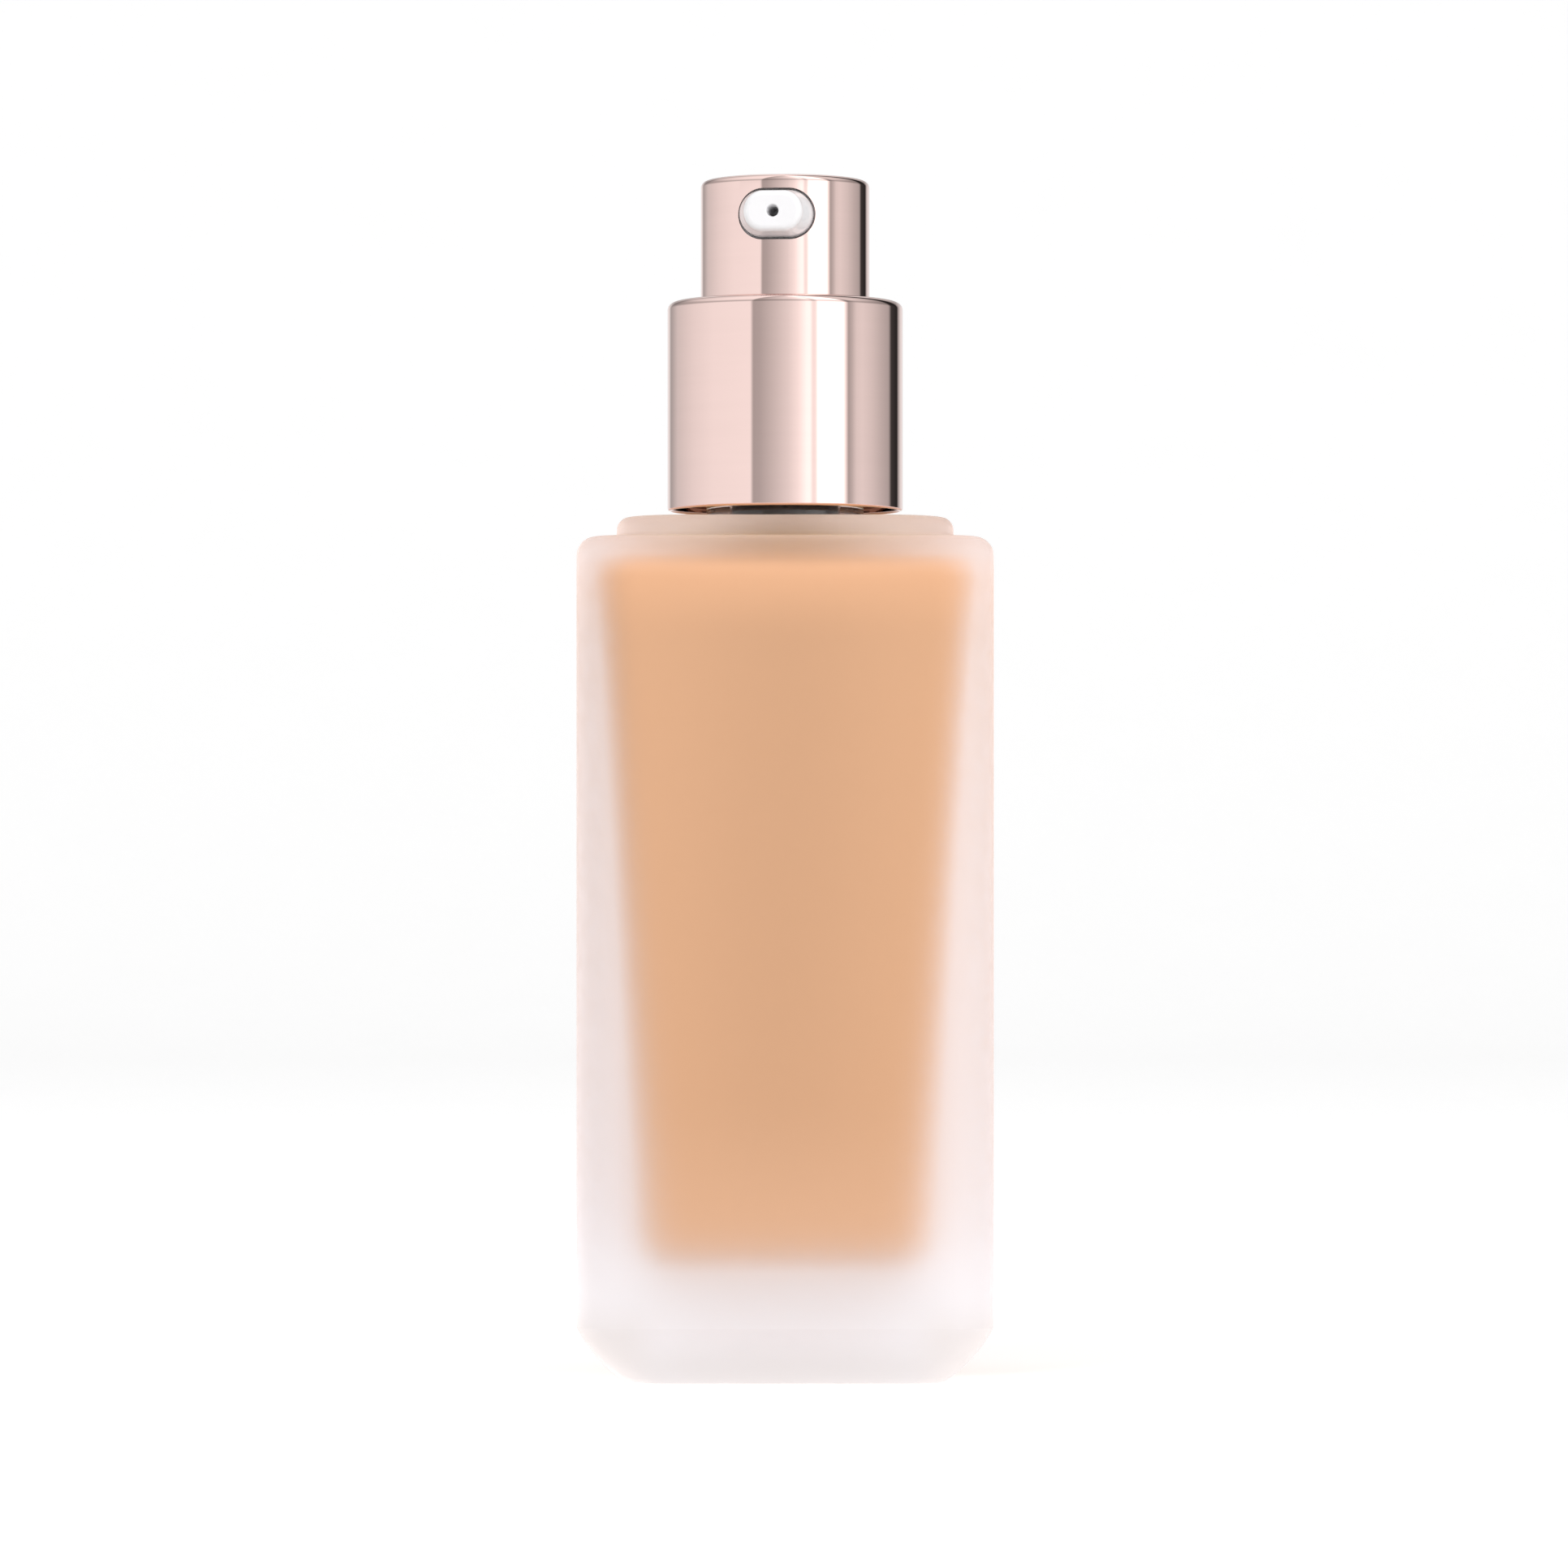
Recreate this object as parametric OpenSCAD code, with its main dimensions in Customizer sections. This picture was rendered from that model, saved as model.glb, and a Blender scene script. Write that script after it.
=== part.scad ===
// Pump bottle for liquid foundation: a heavy square glass bottle with a tapered
// cavity, and a screw-on treatment pump under a metal collar and a metal button.
// Millimetres, +Z up, origin at the centre of the face the bottle stands on.
// The nozzle looks along -Y, turned a little by nozzle_turn.

/* [Glass body] */
// Width and depth of the square body
body_w = 36; // [34:0.5:46]
// Height of the shoulder above the base
body_h = 73.2; // [60:0.2:100]
// Radius of the four upright edges
body_corner_r = 3.6; // [2:0.1:6]
// Rounding of the shoulder's outer edge
shoulder_r = 1.7; // [0.8:0.1:2]
// Height of the bevelled heel
heel_rise = 5; // [2:0.1:7]
// How far the heel comes in at the base
heel_inset = 4.3; // [1:0.1:5]
// Roundness of the heel: 1 is a flat bevel, 2 is an elliptical one
heel_power = 1.25; // [1.1:0.05:2]
// Width of the square recess under the base
base_recess_w = 18; // [10:0.5:20]
// Depth of the recess under the base
base_recess_d = 0.6; // [0.2:0.1:1.5]

/* [Shoulder plinth] */
// Width of the square step on the shoulder, which centres an overcap
plinth_w = 29.3; // [24:0.1:29.5]
// Height of the step
plinth_h = 1.9; // [1:0.1:4]
// Radius of the step's four corners in plan
plinth_corner_r = 5.5; // [3:0.1:8]
// Rounding of the step's top edge
plinth_edge_r = 1.1; // [0.4:0.1:1.5]

/* [Cavity] */
// Side wall of the glass under the shoulder
wall_top = 1.6; // [1.6:0.1:5]
// Side wall of the glass at the cavity's floor
wall_foot = 5.1; // [4.5:0.1:8]
// Thickness of the glass under the cavity
cavity_floor = 9.8; // [6:0.1:16]
// Thickness of the glass between the plinth's top and the cavity
cavity_roof = 2.8; // [2.6:0.1:6]
// Radius of the cavity's upright edges
cavity_corner_r = 3.0; // [2:0.1:6]
// Rounding of the cavity's floor
cavity_floor_r = 2.6; // [1:0.1:4]
// Gap between the liquid's surface and the cavity's roof
headspace = 0.2; // [0.2:0.1:12]

/* [Neck] */
// Height of the neck above the plinth
neck_h = 10; // [9:0.5:14]
// Radius of the neck's wall between the threads
neck_r = 6.55; // [6.3:0.05:8]
// Thickness of the neck's wall
neck_wall = 1.65; // [1.4:0.05:1.8]
// How far the bead at the foot of the neck stands out
neck_bead_d = 0.4; // [0.2:0.05:0.7]
// Height of the bead
neck_bead_h = 1.6; // [0.8:0.1:2]
// Rise of the thread in one turn
thread_pitch = 3; // [2.8:0.1:3.6]
// How far the glass thread stands out of the neck
thread_depth = 0.75; // [0.5:0.05:0.9]
// Turns of thread on the neck and in the closure
thread_turns = 1.2; // [1:0.1:1.4]
// Gap along the axis between the glass thread and the closure's
thread_play = 0.15; // [0.1:0.01:0.4]

/* [Pump] */
// Travel of the button
stroke = 4.2; // [2:0.1:6]
// Wall of the pump's cylinder
housing_wall = 0.8; // [0.6:0.05:0.9]
// Thickness of the flange that the closure clamps
flange_t = 1; // [0.8:0.1:1.6]
// Depth of the socket for the dip tube
socket_l = 5; // [3:0.2:8]
// Wall of the socket
socket_wall = 0.9; // [0.6:0.05:1.2]
// Thickness of the neck gasket
gasket_t = 1; // [0.6:0.1:1.5]
// Outer radius of the stem
stem_r = 2; // [1.8:0.05:2.1]
// Radius of the stem's channel
stem_bore_r = 1.1; // [0.8:0.05:1.2]
// How far the piston floats on the stem to open the outlet
piston_float = 0.6; // [0.3:0.1:0.8]
// Height of the piston
piston_h = 3.2; // [2.6:0.1:4]
// Radius of the inlet ball
ball_r = 1.25; // [1:0.05:1.4]
// How far the inlet ball lifts
ball_lift = 0.8; // [0.4:0.1:1]
// Wire diameter of the return spring
spring_wire = 0.6; // [0.4:0.05:0.7]
// Mean radius of the return spring
spring_r = 2.5; // [2.3:0.05:2.7]
// Working coils of the return spring
spring_coils = 5; // [4:1:6]
// Travel left in the spring when the button is down
spring_spare = 0.8; // [0.4:0.1:2]
// Outer radius of the dip tube
tube_r = 1.5; // [1.3:0.05:1.6]
// Wall of the dip tube
tube_wall = 0.55; // [0.4:0.05:0.7]
// Gap between the dip tube's end and the cavity's floor
tube_gap = 1.5; // [0.8:0.1:4]

/* [Collar] */
// Wall of the plastic liner between the closure and the metal
liner_wall = 1.34; // [1:0.02:3]
// Gap between the plinth and the collar
collar_gap = 1; // [0.6:0.1:2]
// Sheet thickness of the collar
collar_sheet = 0.45; // [0.3:0.05:0.6]
// Rounding of the collar's top edge
collar_edge_r = 0.7; // [0.5:0.05:1]
// How far the closure's lower end lies inside the collar
closure_recess = 1.4; // [0.6:0.1:2]
// Wall of the screw closure's sleeve
closure_wall = 1.05; // [0.9:0.05:1.3]
// Thickness of the closure's top
closure_top_t = 1.2; // [1:0.1:1.8]

/* [Button] */
// Outer radius of the metal button
button_r = 7.45; // [7.2:0.05:8.9]
// Gap left between the nozzle and the collar when the button is down
nozzle_clear = 0.75; // [0.4:0.05:3]
// How far the button reaches into the collar at rest
button_skirt = 1.5; // [0.8:0.1:2]
// Sheet thickness of the button's shell
button_sheet = 0.4; // [0.3:0.05:0.5]
// Rounding of the button's top edge
button_edge_r = 0.6; // [0.4:0.05:1]
// Wall of the button's plastic core
core_wall = 0.8; // [0.6:0.05:1.2]

/* [Nozzle] */
// How far the nozzle is turned from the front, clockwise seen from above
nozzle_turn = 6.3; // [-180:0.1:180]
// Width of the nozzle's window in the button
window_w = 6.8; // [5.5:0.1:7.6]
// Height of the nozzle's window
window_h = 4.5; // [3.8:0.1:4.8]
// Metal left above the window
window_roof = 1.25; // [1:0.05:2]
// Gap left all round the nozzle in its window
window_gap = 0.15; // [0.05:0.01:0.3]
// Radius at which the nozzle's tip ends
nozzle_tip_r = 10.2; // [9.6:0.1:13]
// Width of the nozzle's tip
tip_w = 4.7; // [3.6:0.1:5]
// Height of the nozzle's tip
tip_h = 3.1; // [2.2:0.1:3.2]
// Radius of the outlet hole
orifice_r = 0.55; // [0.3:0.05:0.7]

/* [Fits] */
// Radial gap between pieces that turn or slide in each other
run_fit = 0.05; // [0.02:0.01:0.1]
// Radial gap between pieces that are pushed together
push_fit = 0.03; // [0.02:0.01:0.05]
// Gap round a piece that must pass freely
free_fit = 0.2; // [0.15:0.01:0.3]
// Gap between the closure's top and the button when it is down
press_gap = 0.5; // [0.3:0.1:1]

/* [Hidden] */
$fn = 64;

KEYS = 6;         // ribs between the closure and its liner
KEY_W = 1.2;      // width of a rib
KEY_D = 0.45;     // height of a rib
CORNER_STEPS = 8; // points round one corner of a lofted outline
EDGE_STEPS = 8;   // points across a rounded edge
EPS = 0.01;       // how far a cut runs past a face
SINK = 0.3;       // how deep a thread is rooted in its wall
HULL_FN = 32;     // facets of what a hull blends

GLASS = [0.95, 0.92, 0.91, 0.6];
CREAM = [0.88, 0.67, 0.5];
ROSE_GOLD = [0.86, 0.68, 0.62];
WHITE = [0.95, 0.95, 0.96];
NATURAL = [0.86, 0.87, 0.86];
GREY = [0.4, 0.39, 0.4];
STEEL = [0.66, 0.67, 0.69];

// Heights, from the base up
plinth_top = body_h + plinth_h;
neck_top = plinth_top + neck_h;
flange_z = neck_top + gasket_t;
housing_top = flange_z + flange_t;
closure_top = housing_top + closure_top_t;
collar_bottom = plinth_top + collar_gap;
closure_bottom = collar_bottom + closure_recess;
skirt_bottom = closure_top + press_gap + stroke; // lower edge of the button at rest
collar_top = skirt_bottom + button_skirt;
window_z = collar_top + stroke + nozzle_clear + window_h / 2;
button_top = window_z + window_h / 2 + window_roof;

// Cavity
cavity_top = plinth_top - cavity_roof;
cavity_edge_r = 1.8;
cavity_slope = 0.8; // rise of the cavity's roof towards the neck
fill_top = cavity_top - headspace;
cavity_w_top = body_w - 2 * wall_top;
cavity_w_foot = body_w - 2 * wall_foot;
recess_r = 4;       // corner radius of the recess under the base
recess_draft = 0.6; // how far the recess narrows on each side

// Neck and thread
neck_bore_r = neck_r - neck_wall;
neck_bead_r = neck_r + neck_bead_d;
mouth_r = neck_bore_r + 1.2; // where the cavity's roof meets the bore
thread_r = neck_r + thread_depth;
thread_start = 2.2; // from the neck's lip down to the top of the thread
thread_z = neck_top - thread_start - thread_turns * thread_pitch;
thread_foot = 1.5;
thread_crest = 0.6;
closure_r = thread_r + free_fit;
closure_foot = 1.3;
closure_crest = 0.4;
flank = (thread_foot - thread_crest) / (thread_depth + SINK); // loss of width per mm
thread_offset = (thread_foot + closure_foot - flank * (closure_r + 2 * SINK - neck_r)) / 2
    + thread_play;
closure_out_r = closure_r + closure_wall;
flange_r = closure_r - 2 * free_fit;

// Collar, from the closure outwards
liner_out_r = closure_out_r + push_fit + liner_wall;
collar_in_r = liner_out_r + push_fit;
collar_r = collar_in_r + collar_sheet;
liner_step = 1; // how far the liner stops short of the closure's lower end

// Pump cylinder and what runs in it, from the top down
housing_r = neck_bore_r - free_fit;
cylinder_r = housing_r - housing_wall;
plug_h = 2.5; // depth of the turret's plug in the cylinder
turret_r = flange_r - 1.9;
turret_top = closure_top - 0.3;
seal_r = turret_r - 1.8;
seal_h = 0.8;
stop_z = housing_top - plug_h - run_fit; // top of the stem's stop flange at rest
stop_t = 0.65;
stop_r = cylinder_r - 0.8;
piston_top = stop_z - stop_t - piston_float - run_fit;
piston_bottom = piston_top - piston_h;
head_t = 1.5; // thickness of the rod's valve head
head_r = spring_r + 0.45;
spring_top = piston_bottom - run_fit - head_t;
spring_turns = spring_coils + 2; // with one closed coil at each end
spring_bottom = spring_top - stroke - spring_turns * spring_wire - spring_spare;
seat_h = 1.6; // height of the housing's floor, which holds the ball's seat
ball_seat_r = 0.9;
ball_rise = sqrt(ball_r * ball_r - ball_seat_r * ball_seat_r) + push_fit - seat_h / 2;
cage_roof_t = 0.75;
cage_h = ball_rise + ball_r + ball_lift + run_fit + cage_roof_t;
cylinder_floor = spring_bottom - cage_h;
ball_z = cylinder_floor + ball_rise;
socket_r = tube_r + socket_wall;
housing_bottom = cylinder_floor - seat_h - socket_l;
tube_top = cylinder_floor - seat_h - 0.4;
stem_bottom = piston_bottom + 1.2;
socket_depth = 6; // how far the stem reaches into the button
stem_top = skirt_bottom + socket_depth;

// Button
shell_in_r = button_r - button_sheet;
core_r = shell_in_r - push_fit;
core_top = button_top - button_sheet;
core_bottom = skirt_bottom + 0.3;
core_top_t = 1.2;
boss_r = stem_r + 1.4;
pocket_r = 4.4;     // radius at which the nozzle's plug ends
seat_depth = 1.2;   // how deep the nozzle's collar sits in the core
shoulder_w = 1.2;   // how much smaller the nozzle's plug is than its collar
plug_slot_w = window_w - shoulder_w;
plug_slot_h = window_h - shoulder_w;

// Nozzle's outline, a slot shape with round ends, w wide and h high, along Y
module slot(w, h, l) {
    rotate([90, 0, 0]) {
        for (side = [-1, 1]) translate([side * (w - h) / 2, 0, 0]) cylinder(r = h / 2, h = l);
        translate([-(w - h) / 2, -h / 2, 0]) cube([w - h, h, l]);
    }
}

// One outline of a loft: a square w wide with corners of radius r, at height z
function outline(w, r, z) = [
    for (quarter = [0:3], i = [0:CORNER_STEPS])
        let (a = 90 * quarter + 90 * i / CORNER_STEPS,
             sx = quarter == 0 || quarter == 3 ? 1 : -1,
             sy = quarter < 2 ? 1 : -1)
        [sx * (w / 2 - r) + r * cos(a), sy * (w / 2 - r) + r * sin(a), z]
];

// Solid through a list of [width, corner radius, height] rows, lowest first
module loft(rows) {
    n = 4 * (CORNER_STEPS + 1);
    last = len(rows) - 1;
    polyhedron(
        points = [for (row = rows) each outline(row[0], row[1], row[2])],
        faces = [
            [for (i = [0:n - 1]) i],
            for (k = [0:last - 1], i = [0:n - 1])
                let (j = (i + 1) % n) each [
                    [k * n + i, k * n + n + j, k * n + j],
                    [k * n + i, k * n + n + i, k * n + n + j]
                ],
            [for (i = [n - 1:-1:0]) last * n + i]
        ]
    );
}

// Helical ridge from radius r0 to r1, with its foot and crest widths
module ridge(r0, r1, foot, crest, z, turns) {
    per_turn = 40;
    steps = round(turns * per_turn);
    taper = 4; // steps over which each end fades in
    function grown(k) = min(1, (min(k, steps - k) + 0.4) / taper);
    points = [
        for (k = [0:steps])
            let (a = 360 * k / per_turn,
                 h = z + thread_pitch * k / per_turn,
                 tip = r0 + (r1 - r0) * grown(k))
            each [
                [r0 * cos(a), r0 * sin(a), h - foot / 2],
                [tip * cos(a), tip * sin(a), h - crest / 2],
                [tip * cos(a), tip * sin(a), h + crest / 2],
                [r0 * cos(a), r0 * sin(a), h + foot / 2]
            ]
    ];
    sides = [
        for (k = [0:steps - 1], i = [0:3])
            let (j = (i + 1) % 4, a = 4 * k + i, b = 4 * k + j)
            each [[a, b, b + 4], [a, b + 4, a + 4]]
    ];
    ends = [[3, 2, 1, 0], [for (i = [0:3]) 4 * steps + i]];
    // A ridge that points inwards has its faces the other way round
    faces = [for (f = concat(sides, ends)) r1 > r0 ? f : [for (i = [len(f) - 1:-1:0]) f[i]]];
    polyhedron(points = points, faces = faces);
}

// Ring between two radii
module ring(outer, inner, z0, z1) {
    translate([0, 0, z0]) difference() {
        cylinder(r = outer, h = z1 - z0);
        translate([0, 0, -EPS]) cylinder(r = inner, h = z1 - z0 + 2 * EPS);
    }
}

// Points of a quarter round of radius r about [cx, cy], from angle a0 to a1
function quarter_round(cx, cy, r, a0, a1) = [
    for (i = [0:EDGE_STEPS]) let (a = a0 + (a1 - a0) * i / EDGE_STEPS)
        [cx + r * cos(a), cy + r * sin(a)]
];

// Heel rows: a superellipse from the base up to the upright sides
function heel_rows() = [
    for (i = [0:EDGE_STEPS])
        let (t = 90 * i / EDGE_STEPS,
             out = pow(sin(t), 2 / heel_power),
             down = pow(cos(t), 2 / heel_power),
             w = body_w - 2 * heel_inset * (1 - out))
        [w, body_corner_r - (body_w - w) / 4, heel_rise * (1 - down)]
];

// Rows of a rounded top edge that ends at width w and height z
function edge_rows(w, corner, r, z) = [
    for (i = [0:EDGE_STEPS])
        let (t = 90 * i / EDGE_STEPS)
        [w - 2 * r * (1 - cos(t)), corner - r * (1 - cos(t)) / 2, z - r * (1 - sin(t))]
];

module body_blank() {
    loft(concat(heel_rows(), edge_rows(body_w, body_corner_r, shoulder_r, body_h)));
    // A small fillet where the plinth rises out of the shoulder
    fillet = 0.5;
    loft(concat(
        [for (i = [0:4]) let (t = 90 * i / 4)
            [plinth_w + 2 * fillet * (1 - sin(t)), plinth_corner_r + fillet * (1 - sin(t)),
             body_h - EPS + fillet * (1 - cos(t))]],
        edge_rows(plinth_w, plinth_corner_r, plinth_edge_r, plinth_top)
    ));
}

module cavity() {
    foot = [
        for (i = [0:EDGE_STEPS])
            let (t = 90 * i / EDGE_STEPS)
            [cavity_w_foot - 2 * cavity_floor_r * (1 - sin(t)),
             cavity_corner_r - cavity_floor_r * (1 - sin(t)) / 2,
             cavity_floor + cavity_floor_r * (1 - cos(t))]
    ];
    roof = edge_rows(cavity_w_top, cavity_corner_r, cavity_edge_r, cavity_top - cavity_slope);
    loft(concat(foot, roof, [[2 * mouth_r, mouth_r, cavity_top]]));
}

module glass_bottle() {
    color(GLASS) difference() {
        union() {
            body_blank();
            translate([0, 0, plinth_top - EPS]) cylinder(r = neck_r, h = neck_h + EPS);
            translate([0, 0, plinth_top - EPS]) cylinder(r = neck_bead_r, h = neck_bead_h);
            ridge(neck_r - SINK, thread_r, thread_foot, thread_crest, thread_z, thread_turns);
        }
        cavity();
        translate([0, 0, cavity_top - 1]) cylinder(r = neck_bore_r, h = neck_h + cavity_roof + 2);
        // Recess under the base, so that the bottle stands on a rim
        loft([
            [base_recess_w, recess_r, -EPS],
            [base_recess_w - 2 * recess_draft, recess_r - recess_draft, base_recess_d]
        ]);
    }
}

module foundation_fill() {
    color(CREAM) difference() {
        intersection() {
            cavity();
            translate([-body_w, -body_w, 0]) cube([2 * body_w, 2 * body_w, fill_top]);
        }
        translate([0, 0, housing_bottom]) cylinder(r = socket_r + push_fit, h = body_h);
        translate([0, 0, cylinder_floor - seat_h]) cylinder(r = housing_r + push_fit, h = body_h);
        translate([0, 0, cavity_floor + tube_gap]) cylinder(r = tube_r + push_fit, h = body_h);
    }
}

module neck_gasket() {
    color(WHITE) ring(neck_r, neck_bore_r, neck_top, flange_z);
}

module pump_housing() {
    vent_r = 0.4;
    color(NATURAL) difference() {
        union() {
            translate([0, 0, cylinder_floor - seat_h])
                cylinder(r = housing_r, h = housing_top - cylinder_floor + seat_h);
            translate([0, 0, flange_z]) cylinder(r = flange_r, h = flange_t);
            translate([0, 0, housing_bottom]) cylinder(r = socket_r, h = socket_l + EPS);
        }
        translate([0, 0, cylinder_floor]) cylinder(r = cylinder_r, h = housing_top);
        translate([0, 0, housing_bottom - EPS])
            cylinder(r = tube_r + push_fit, h = tube_top - housing_bottom + EPS);
        translate([0, 0, tube_top - 1]) cylinder(r = ball_seat_r, h = seat_h + 2);
        // Cone that the inlet ball seals on
        translate([0, 0, cylinder_floor - seat_h / 2])
            cylinder(r1 = ball_seat_r, r2 = ball_r + 0.4, h = seat_h / 2 + EPS);
        // Vent that lets air back in behind the piston
        translate([0, 0, flange_z - 2.4]) rotate([90, 0, 0])
            cylinder(r = vent_r, h = 2 * neck_r);
    }
}

module dip_tube() {
    slant = 45; // the lower end is cut at a slant, so that it can't seal on the floor
    foot = cavity_floor + tube_gap;
    color(WHITE) difference() {
        ring(tube_r, tube_r - tube_wall, foot, tube_top);
        translate([0, 0, foot]) rotate([0, slant, 0])
            translate([-4 * tube_r, -2 * tube_r, -4 * tube_r])
            cube([8 * tube_r, 4 * tube_r, 4 * tube_r]);
    }
}

module inlet_ball() {
    color(STEEL) translate([0, 0, ball_z]) sphere(r = ball_r);
}

// Keeps the ball near its seat, lets the liquid past it, and carries the spring
module ball_cage() {
    slots = 4;
    color(WHITE) difference() {
        translate([0, 0, cylinder_floor]) cylinder(r = cylinder_r - push_fit, h = cage_h);
        translate([0, 0, cylinder_floor - EPS])
            cylinder(r = ball_r + free_fit, h = cage_h - cage_roof_t + EPS);
        for (i = [0:slots - 1]) rotate([0, 0, 360 * i / slots])
            translate([ball_r - 0.25, -0.4, cylinder_floor - EPS])
            cube([1, 0.8, cage_h + 2 * EPS]);
        // Step that centres the spring's last coil
        translate([0, 0, spring_bottom - 0.4]) difference() {
            cylinder(r = cylinder_r, h = 0.5);
            translate([0, 0, -EPS]) cylinder(r = spring_r + spring_wire / 2 + run_fit, h = 1);
        }
    }
}

module return_spring() {
    wire_r = spring_wire / 2;
    lead = (spring_top - spring_bottom - 2 * spring_wire) / spring_coils;
    per_turn = 24;
    sides = 8;
    // The closed end coils rise by a wire's thickness, and the rest by the lead
    function rise(turn) = turn < 1 ? turn * spring_wire
        : turn < 1 + spring_coils ? spring_wire + (turn - 1) * lead
        : spring_wire + spring_coils * lead + (turn - 1 - spring_coils) * spring_wire;
    low = spring_bottom + wire_r + run_fit;
    span = spring_top - spring_bottom - spring_wire - 2 * run_fit;
    scale_z = span / rise(spring_turns);
    rings = spring_turns * per_turn;
    points = [
        for (k = [0:rings])
            let (turn = k / per_turn, a = 360 * turn, h = low + rise(turn) * scale_z)
            for (i = [0:sides - 1])
                let (b = 360 * i / sides, r = spring_r + wire_r * 0.98 * cos(b))
                [r * cos(a), r * sin(a), h + wire_r * 0.98 * sin(b)]
    ];
    faces = [
        [for (i = [0:sides - 1]) i],
        for (k = [0:rings - 1], i = [0:sides - 1])
            let (j = (i + 1) % sides, a = k * sides + i, b = k * sides + j)
            each [[a, b + sides, b], [a, a + sides, b + sides]],
        [for (i = [sides - 1:-1:0]) rings * sides + i]
    ];
    color(STEEL) polyhedron(points = points, faces = faces);
}

// Valve head under the piston, with a shank pushed up into the stem
module piston_rod() {
    shank_r = stem_bore_r - push_fit;
    pin_l = 3;
    head_z = spring_top;
    color(WHITE) difference() {
        union() {
            translate([0, 0, head_z]) cylinder(r = head_r, h = head_t);
            translate([0, 0, head_z]) cylinder(r = shank_r, h = stem_bottom + 2.4 - head_z);
            translate([0, 0, head_z - pin_l]) cylinder(r = spring_r - spring_wire, h = pin_l);
        }
        // Flutes that carry the liquid past the shank into the stem
        for (i = [0:2]) rotate([0, 0, 120 * i])
            translate([shank_r - 0.35, -0.3, head_z + head_t]) cube([1, 0.6, 8]);
    }
}

// Soft piston with a wiping lip at each end and a skirt that seals on the rod's head
module piston() {
    lip = cylinder_r - run_fit;
    waist = lip - 0.5;
    neck = stem_r + run_fit;
    color(NATURAL) translate([0, 0, piston_bottom]) rotate_extrude() polygon([
        [neck, 1.1], [neck, piston_h - 0.5], [neck + 0.5, piston_h - 0.5],
        [lip - 0.35, piston_h], [lip, piston_h], [lip, piston_h - 0.5],
        [waist, piston_h - 1.1], [waist, 1.1], [lip, 0.5], [lip, 0], [lip - 0.35, 0],
        [lip - 0.6, 0.7], [neck + 0.5, 0.7], [head_r - 0.35, 0], [head_r - 0.7, 0]
    ]);
}

module pump_stem() {
    color(WHITE) difference() {
        union() {
            translate([0, 0, stem_bottom]) cylinder(r = stem_r, h = stem_top - stem_bottom);
            translate([0, 0, stop_z - stop_t]) cylinder(r = stop_r, h = stop_t);
        }
        translate([0, 0, stem_bottom - EPS])
            cylinder(r = stem_bore_r, h = stem_top - stem_bottom + 2 * EPS);
    }
}

module stem_seal() {
    color(GREY) ring(seal_r, stem_r + run_fit, turret_top - seal_h, turret_top);
}

// Closes the cylinder, guides the stem and stops it at the top of its stroke
module turret_cap() {
    color(WHITE) difference() {
        union() {
            translate([0, 0, housing_top - plug_h])
                cylinder(r = cylinder_r - push_fit, h = plug_h + EPS);
            translate([0, 0, housing_top]) cylinder(r = turret_r, h = turret_top - housing_top);
        }
        translate([0, 0, housing_top - plug_h - EPS])
            cylinder(r = stem_r + run_fit, h = plug_h + closure_top_t + 1);
        translate([0, 0, turret_top - seal_h]) cylinder(r = seal_r + push_fit, h = seal_h + 1);
    }
}

// Ribs on the closure that turn the collar's liner with it
module closure_keys(grow) {
    for (i = [0:KEYS - 1]) rotate([0, 0, 360 * i / KEYS + 30])
        translate([closure_out_r - SINK, -KEY_W / 2 - grow, closure_bottom + liner_step])
        cube([SINK + KEY_D + grow, KEY_W + 2 * grow, closure_top - closure_bottom - liner_step]);
}

module screw_closure() {
    tip = neck_r + free_fit;
    color(WHITE) union() {
        difference() {
            union() {
                translate([0, 0, closure_bottom])
                    cylinder(r = closure_out_r, h = closure_top - closure_bottom);
                closure_keys(0);
            }
            translate([0, 0, closure_bottom - EPS])
                cylinder(r = closure_r, h = housing_top - closure_bottom + EPS);
            translate([0, 0, closure_bottom])
                cylinder(r = turret_r + free_fit / 2, h = closure_top);
        }
        ridge(closure_r + SINK, tip, closure_foot, closure_crest, thread_z - thread_offset,
            thread_turns);
    }
}

// Plastic sleeve that centres the metal collar on the closure and guides the button
module collar_liner() {
    bottom = closure_bottom + liner_step;
    top = collar_top - collar_sheet;
    chimney_r = button_r + 1.5 * free_fit;
    color(WHITE) difference() {
        translate([0, 0, bottom]) cylinder(r = liner_out_r, h = top - bottom);
        translate([0, 0, bottom - EPS])
            cylinder(r = closure_out_r + push_fit, h = closure_top - bottom + EPS);
        translate([0, 0, bottom]) cylinder(r = chimney_r, h = top);
        closure_keys(push_fit);
    }
}

module collar_shell() {
    hole_r = button_r + free_fit;
    lip = 0.2; // rounding of the sheet's lower edge
    color(ROSE_GOLD) rotate_extrude() polygon(concat(
        quarter_round(collar_r - lip, collar_bottom + lip, lip, 270, 360),
        quarter_round(collar_r - collar_edge_r, collar_top - collar_edge_r, collar_edge_r, 0, 90),
        [[hole_r + 0.1, collar_top], [hole_r, collar_top - 0.1], [hole_r, collar_top - collar_sheet],
         [collar_in_r, collar_top - collar_sheet], [collar_in_r, collar_bottom + lip / 2],
         [collar_in_r + lip / 2, collar_bottom]]
    ));
}

// Turns the nozzle's pieces from the front to where the nozzle looks
module faced() {
    rotate([0, 0, -nozzle_turn]) children();
}

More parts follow.
